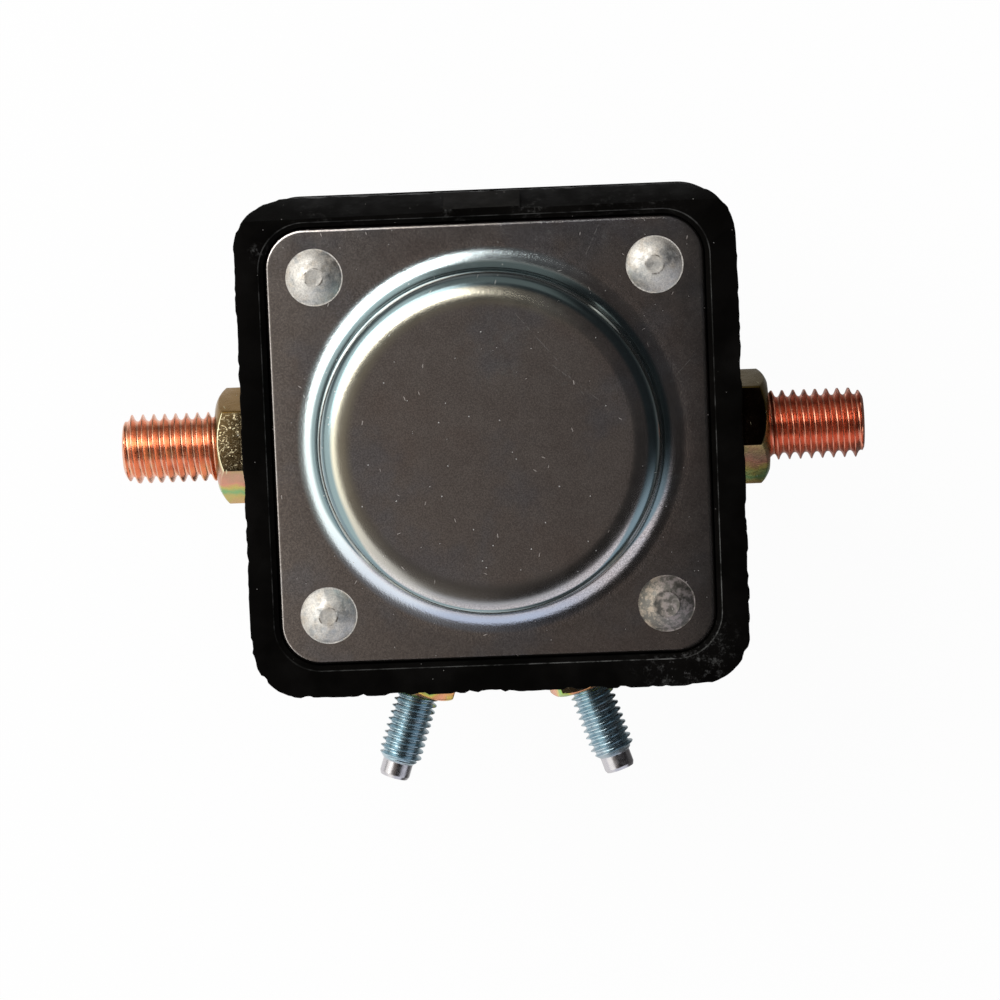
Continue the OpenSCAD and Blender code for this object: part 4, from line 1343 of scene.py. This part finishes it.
def weld_on(piece, addition):
    """Joins another solid to a piece, as one closed skin."""
    other = new_piece("addition", *addition, piece.data.materials[0], 35)
    step = piece.modifiers.new("join", "BOOLEAN")
    step.operation = "UNION"
    step.solver = "MANIFOLD"
    step.object = other
    keep_modified(piece)
    bpy.data.objects.remove(other)


class SOLENOID_OT_small_studs(bpy.types.Operator):
    """Roll the two small studs with their plain points and round heads"""

    bl_idname = "solenoid.small_studs"
    bl_label = "Small studs"

    def execute(self, context):
        studs = context.scene.starter_solenoid.studs
        axis = axis_of("control_nuts")
        crest = studs.small_diameter / 2
        core = studs.small_core / 2
        dog = studs.dog_diameter / 2
        face = studs.small_nut_seat + studs.small_nut_height
        tip = 41.3 * MM
        neck = tip - studs.dog_length
        lead_in = 0.4 * MM
        strip = 0.6 * MM
        for node, side, seat in (("coil_terminal_stud", -1, HEAD_SEAT),
                                 ("ignition_terminal_stud", 1, HEAD_SEAT - strip)):

            def limit(z):
                if z < face - lead_in:
                    return core, 0.0
                runout = min((z - face + lead_in) / studs.small_pitch, 1.0)
                most = core + (crest - core) * min(runout * 1.6, 1.0)
                if z > neck:
                    rounding = max(0.0, z - (tip - 0.35 * MM))
                    return dog - rounding * 0.45, 1.0
                return min(most, dog + max(0.0, neck - z)), runout

            points, faces = threaded_bar(studs.small_pitch, crest, seat - 0.5 * MM, tip, limit, 72)
            place = outward(-math.pi / 2 + side * studs.small_angle, axis)
            piece = new_piece("zinc_" + node, [place @ p for p in points], faces, blue_zinc(),
                              sharp=32)
            head = lathe([(SMALL_HEAD - 0.25 * MM, seat - 2 * MM),
                          (SMALL_HEAD, seat - 1.75 * MM), (SMALL_HEAD, seat - 0.15 * MM),
                          (SMALL_HEAD - 0.15 * MM, seat)], 72)
            weld_on(piece, ([place @ p for p in head[0]], head[1]))
            smooth(piece.data, 32)
            settle(piece, CASE, "blue_zinc", node)
        return {"FINISHED"}


def hexagon(flat, corner_round, height, side_steps=14, corner_steps=6):
    """Points of a hexagon round Z whose corners are a little rounded. A flat faces +Y."""
    reach = (flat - corner_round) / math.cos(math.pi / 6)
    points = []
    for k in range(6):
        middle = k * math.pi / 3
        centre = Vector((reach * math.cos(middle), reach * math.sin(middle), height))
        for i in range(corner_steps + 1):
            a = middle - math.pi / 6 + math.pi / 3 * i / corner_steps
            points.append(centre + corner_round * Vector((math.cos(a), math.sin(a), 0)))
        following = (k + 1) * math.pi / 3
        ahead = Vector((reach * math.cos(following), reach * math.sin(following), height))
        side = middle + math.pi / 6
        lift = corner_round * Vector((math.cos(side), math.sin(side), 0))
        for i in range(1, side_steps):
            points.append(centre.lerp(ahead, i / side_steps) + lift)
    return points


def hex_nut(flat, height, bore, sink):
    """A hexagonal nut standing on its washer face: the outer rim turned off, and a countersink.
    The turned rim reaches into the flats and is a little round."""
    outline = hexagon(flat, 0.3 * MM, 0)
    turned = flat * 0.87

    def face(level, radius):
        return ring_like(outline, radius, level)

    def drop_at(far):
        over = max(far - turned, 0)
        return over * 0.42 + over * over / (8.0 * MM)

    rings = [face(height - sink, bore), face(height, bore + sink)]
    rings += [face(height, turned - 0.15 * MM), face(height - 0.02 * MM, turned)]
    for share_out in (0.3, 0.55, 0.8, 1.0):
        ring = []
        for p in outline:
            far = math.hypot(p.x, p.y)
            reach = turned + (far - turned) * share_out
            ring.append(Vector((p.x * reach / far, p.y * reach / far, height - drop_at(reach))))
        rings.append(ring if share_out < 1 else pulled(ring, 0.05 * MM))
    rings.append([Vector((p.x, p.y, height - drop_at(math.hypot(p.x, p.y)) - 0.1 * MM))
                  for p in outline])
    rings.append([Vector((p.x, p.y, 0.15 * MM)) for p in outline])
    rings += [pulled([Vector((p.x, p.y, 0)) for p in outline], 0.15 * MM)]
    rings += [face(0, bore + sink * 0.5), face(sink * 0.5, bore)]
    return skin(rings, closed=True)


def pulled(ring, inset):
    """The ring, drawn in towards the axis."""
    moved = []
    for p in ring:
        far = math.hypot(p.x, p.y)
        keep = (far - inset) / far
        moved.append(Vector((p.x * keep, p.y * keep, p.z)))
    return moved


class SOLENOID_OT_nuts(bpy.types.Operator):
    """Turn the hexagonal nuts of all four terminals"""

    bl_idname = "solenoid.nuts"
    bl_label = "Nuts"

    def execute(self, context):
        studs = context.scene.starter_solenoid.studs
        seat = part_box("housing")[1].x
        thick = studs.large_nut_height
        axis = axis_of("terminal_nuts")
        grown = ([], [])
        for angle, stop in ((0, studs.right_stop), (math.pi, studs.left_stop)):
            points, faces = hex_nut(studs.large_nut / 2, thick, studs.large_core / 2 + 0.02 * MM,
                                    0.62 * MM)
            spin = Matrix.Translation((0, 0, seat)) @ Matrix.Rotation(math.pi / 2, 4, "Z")
            turned = Matrix.Translation((0, 0, axis)) @ Matrix.Rotation(-stop, 4, "X")
            add_shape(grown, points, faces, turned @ outward(angle, 0) @ spin)
        piece = new_piece("large_nuts", grown[0], grown[1], chromate(), sharp=28)
        settle(piece, CASE, "chromate_nut", "terminal_nuts")
        axis = axis_of("control_nuts")
        grown = ([], [])
        for side, stop in ((-1, studs.coil_stop), (1, studs.ignition_stop)):
            points, faces = hex_nut(studs.small_nut / 2, studs.small_nut_height,
                                    studs.small_core / 2 + 0.02 * MM, 0.4 * MM)
            place = outward(-math.pi / 2 + side * studs.small_angle, axis)
            spin = (Matrix.Translation((0, 0, studs.small_nut_seat))
                    @ Matrix.Rotation(stop, 4, "Z"))
            add_shape(grown, points, faces, place @ spin)
        piece = new_piece("small_nuts", grown[0], grown[1], chromate(), sharp=28)
        settle(piece, CASE, "chromate_nut", "control_nuts")
        return {"FINISHED"}


def coiled_wire(radius_at, low, high, turns, wire, sides=12, steps=32):
    """A round wire wound round Z, with its closing turns ground level at both ends."""
    rows = int(turns * steps)
    centres = []
    for i in range(rows + 1):
        part = i / rows
        a = 2 * math.pi * turns * part
        r = radius_at(part)
        centres.append(Vector((r * math.cos(a), r * math.sin(a), low + (high - low) * part)))
    rings = []
    for i, centre in enumerate(centres):
        ahead = centres[min(i + 1, rows)] - centres[max(i - 1, 0)]
        aside = Vector((centre.x, centre.y, 0)).normalized()
        up = ahead.cross(aside).normalized()
        ring = []
        for k in range(sides):
            a = 2 * math.pi * k / sides
            ring.append(centre + wire * (math.cos(a) * aside + math.sin(a) * up))
        rings.append(ring)
    return skin(rings)


class SOLENOID_OT_springs(bpy.types.Operator):
    """Wind the return spring and the contact spring"""

    bl_idname = "solenoid.springs"
    bl_label = "Springs"

    def execute(self, context):
        low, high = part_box("return_spring")
        wire = 0.35 * MM
        points, faces = coiled_wire(lambda part: 3.3 * MM, low.z + wire, high.z - wire, 6.5, wire)
        piece = new_piece("wound_return_spring", points, faces, spring_steel(), sharp=60)
        settle(piece, CASE, "spring_steel", "return_spring")
        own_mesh(piece)
        low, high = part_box("contact_spring")
        wire = 0.30 * MM
        points, faces = coiled_wire(lambda part: (4.7 - 1.7 * part) * MM, low.z + wire,
                                    high.z - wire, 2.25, wire)
        piece = new_piece("wound_contact_spring", points, faces, spring_steel(), sharp=60)
        settle(piece, PLUNGER, "spring_steel", "contact_spring")
        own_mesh(piece)
        return {"FINISHED"}


PLAIN = (  # pieces that keep their solids: node, finish, and rounding in millimetres
    ("cover_gasket", gasket_sheet, 0.1), ("flange_gasket", gasket_sheet, 0.1),
    ("coil_can", drawn_steel, 0.12), ("mounting_bracket", stamped_steel, 0.25),
    ("fixed_core", core_iron, 0.3), ("pole_plate", core_iron, 0.15), ("plunger", core_iron, 0.3),
    ("guide_tube", guide_brass, 0.1), ("plunger_rod", blue_zinc, 0.1),
    ("retaining_clip", spring_steel, 0.08), ("bobbin", bobbin_nylon, 0.12),
    ("coil_winding", winding_wire, 0.2), ("coil_lead", lead_wire, 0),
    ("ground_lead", lead_wire, 0), ("contact_disc", bare_copper, 0.2),
    ("ignition_contact", bare_copper, 0.1), ("lower_insulator", insulator_fibre, 0.08),
    ("upper_insulator", insulator_fibre, 0.08),
)


class SOLENOID_OT_plain_pieces(bpy.types.Operator):
    """Finish the pieces that keep the shape of their solids: can, bracket, magnet and coil"""

    bl_idname = "solenoid.plain_pieces"
    bl_label = "Plain pieces"

    def execute(self, context):
        for node, finish, edge in PLAIN:
            dress(node, finish(), edge)
        return {"FINISHED"}


def table_top():
    """Pale table that keeps the object's shadow. It is white to the camera, and to metal it
    darkens towards the right and the back, as a table in front of dark flags does."""
    material, tree, shader = start_finish("white_table")
    shader.inputs["Base Color"].default_value = (0.86, 0.86, 0.86, 1.0)
    shader.inputs["Roughness"].default_value = 0.9
    path = add_node(tree, "ShaderNodeLightPath", output=None)
    mirrored = path["Is Glossy Ray"].most(path["Is Transmission Ray"])
    seen = path["Is Camera Ray"].most(mirrored)
    x, y, _ = xyz(object_place(tree))
    level = x.span(-50, 80, 1.0, 0.06) * y.span(0, 160, 1.0, 0.12)
    level = level.most(path["Is Camera Ray"])
    glow = add_node(tree, "ShaderNodeEmission",
                    {"Color": vector_of(level, level, level), "Strength": 1.0})
    mix = add_node(tree, "ShaderNodeMixShader",
                   {0: seen * 0.95, 1: Field(shader.outputs[0]), 2: glow})
    mix.feed(tree.nodes["Material Output"].inputs["Surface"])
    return material


def studio_world():
    """Soft surroundings. They light the parts evenly, and metal mirrors them by direction: dim
    overhead and on the right, bright low on the near side and the left."""
    world = bpy.data.worlds.new("studio")
    world.use_nodes = True
    tree = world.node_tree
    way = add_node(tree, "ShaderNodeTexCoord", output="Generated")
    across, along, high = xyz(vector_maths("NORMALIZE", way, (0, 0, 0), "Vector"))
    tint = blend(across.ramp(0.02, -0.12), (0.060, 0.050, 0.048), (0.16, 0.14, 0.125))
    tint = blend(across.ramp(-0.03, 0.11), tint, (0.010, 0.010, 0.010))
    tint = blend(along.ramp(-0.06, 0.10), tint, (0.022, 0.021, 0.022))
    near = along.ramp(-0.15, -0.50) * high.ramp(0.735, 0.69)
    west = across.ramp(-0.24, -0.46) * (high.ramp(0.90, 0.80) * high.ramp(0.10, 0.25))
    far = along.ramp(0.30, 0.60) * (high.ramp(0.72, 0.60) * across.ramp(0.55, 0.30))
    tint = blend(near, tint, (0.80, 0.83, 0.92))
    tint = blend(far, tint, (0.30, 0.29, 0.27))
    tint = blend(west, tint, (1.35, 1.34, 1.28))
    edge = blend(across.ramp(-0.15, 0.35), (1.0, 1.0, 1.0), (0.06, 0.06, 0.06))
    edge = blend(along.ramp(0.0, 0.5, 0.0, 0.7), edge, (0.06, 0.06, 0.06))
    tint = blend(high.ramp(0.09, 0.03), tint, edge)
    path = add_node(tree, "ShaderNodeLightPath", output=None)
    tint = blend(path["Is Glossy Ray"], (0.68, 0.68, 0.68), tint)
    tint = blend(path["Is Camera Ray"], tint, (1.0, 1.0, 1.0))
    tint.feed(tree.nodes["Background"].inputs["Color"])
    tree.nodes["Background"].inputs["Strength"].default_value = 1.0
    return world


def soft_lamp(name, place, aim, width, height, brightness, tint, spin):
    """A square soft box whose surface is as bright as the given number."""
    lamp = bpy.data.lights.new(name, "AREA")
    lamp.shape = "RECTANGLE"
    lamp.size = width
    lamp.size_y = height
    lamp.color = tint
    lamp.energy = brightness * 4 * width * height
    holder = bpy.data.objects.new(name, lamp)
    holder.location = place
    facing = (Vector(aim) - Vector(place)).to_track_quat("-Z", "Y")
    holder.rotation_euler = (facing @ Quaternion((0, 0, 1), math.radians(spin))).to_euler()
    holder.visible_camera = False
    bpy.context.scene.collection.objects.link(holder)


class SOLENOID_OT_stage(bpy.types.Operator):
    """Set up the camera, the table and the light"""

    bl_idname = "solenoid.stage"
    bl_label = "Stage"

    def execute(self, context):
        scene = context.scene
        stage = scene.starter_solenoid.stage
        scene.view_settings.view_transform = "Standard"
        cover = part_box("front_cover")[1].z - scene.starter_solenoid.cover.boss_height
        camera = bpy.data.objects.new("camera", bpy.data.cameras.new("camera"))
        camera.data.lens = stage.lens
        camera.data.sensor_width = 36.0
        camera.data.clip_start = 0.02
        camera.data.clip_end = 50.0
        turned = (Matrix.Rotation(stage.roll, 4, "Z") @ Matrix.Rotation(stage.tilt, 4, "X")
                  @ Matrix.Rotation(stage.yaw, 4, "Y"))
        back = Matrix.Translation((1.02 * MM, -6.61 * MM, stage.distance))
        camera.matrix_world = (Matrix.Translation((0, 0, cover)) @ turned.transposed() @ back)
        scene.collection.objects.link(camera)
        scene.camera = camera
        half = stage.floor / 2
        mesh = bpy.data.meshes.new("table")
        mesh.from_pydata([(-half, -half, 0), (half, -half, 0), (half, half, 0), (-half, half, 0)],
                         [], [(0, 1, 2, 3)])
        mesh.materials.append(table_top())
        table = bpy.data.objects.new("table", mesh)
        scene.collection.objects.link(table)
        scene.world = studio_world()
        soft_lamp("key_light", (-0.545, 0.49, 0.80), (-0.545, 0.49, 0.0), 0.84, 0.72,
                  stage.key, (1.0, 0.985, 0.96), spin=16.0)
        return {"FINISHED"}


SETTINGS = (HousingSettings, CoverSettings, RivetSettings, StudSettings, FinishSettings,
            StageSettings, SolenoidSettings)
STEPS = (SOLENOID_OT_housing, SOLENOID_OT_front_cover, SOLENOID_OT_rivets,
         SOLENOID_OT_large_studs, SOLENOID_OT_small_studs, SOLENOID_OT_nuts,
         SOLENOID_OT_plain_pieces, SOLENOID_OT_springs, SOLENOID_OT_stage)


class SOLENOID_PT_panel(bpy.types.Panel):
    """Lists the steps that build the solenoid"""

    bl_label = "Starter solenoid"
    bl_idname = "SOLENOID_PT_panel"
    bl_space_type = "VIEW_3D"
    bl_region_type = "UI"
    bl_category = "Solenoid"

    def draw(self, context):
        for step in STEPS:
            self.layout.operator(step.bl_idname)


def register():
    for kind in SETTINGS + STEPS + (SOLENOID_PT_panel,):
        bpy.utils.register_class(kind)
    bpy.types.Scene.starter_solenoid = PointerProperty(type=SolenoidSettings)


def unregister():
    del bpy.types.Scene.starter_solenoid
    for kind in reversed(SETTINGS + STEPS + (SOLENOID_PT_panel,)):
        bpy.utils.unregister_class(kind)


def main():
    register()
    bpy.ops.solenoid.housing()
    bpy.ops.solenoid.front_cover()
    bpy.ops.solenoid.rivets()
    bpy.ops.solenoid.large_studs()
    bpy.ops.solenoid.small_studs()
    bpy.ops.solenoid.nuts()
    bpy.ops.solenoid.plain_pieces()
    bpy.ops.solenoid.springs()
    bpy.ops.solenoid.stage()


if __name__ == "__main__":
    main()
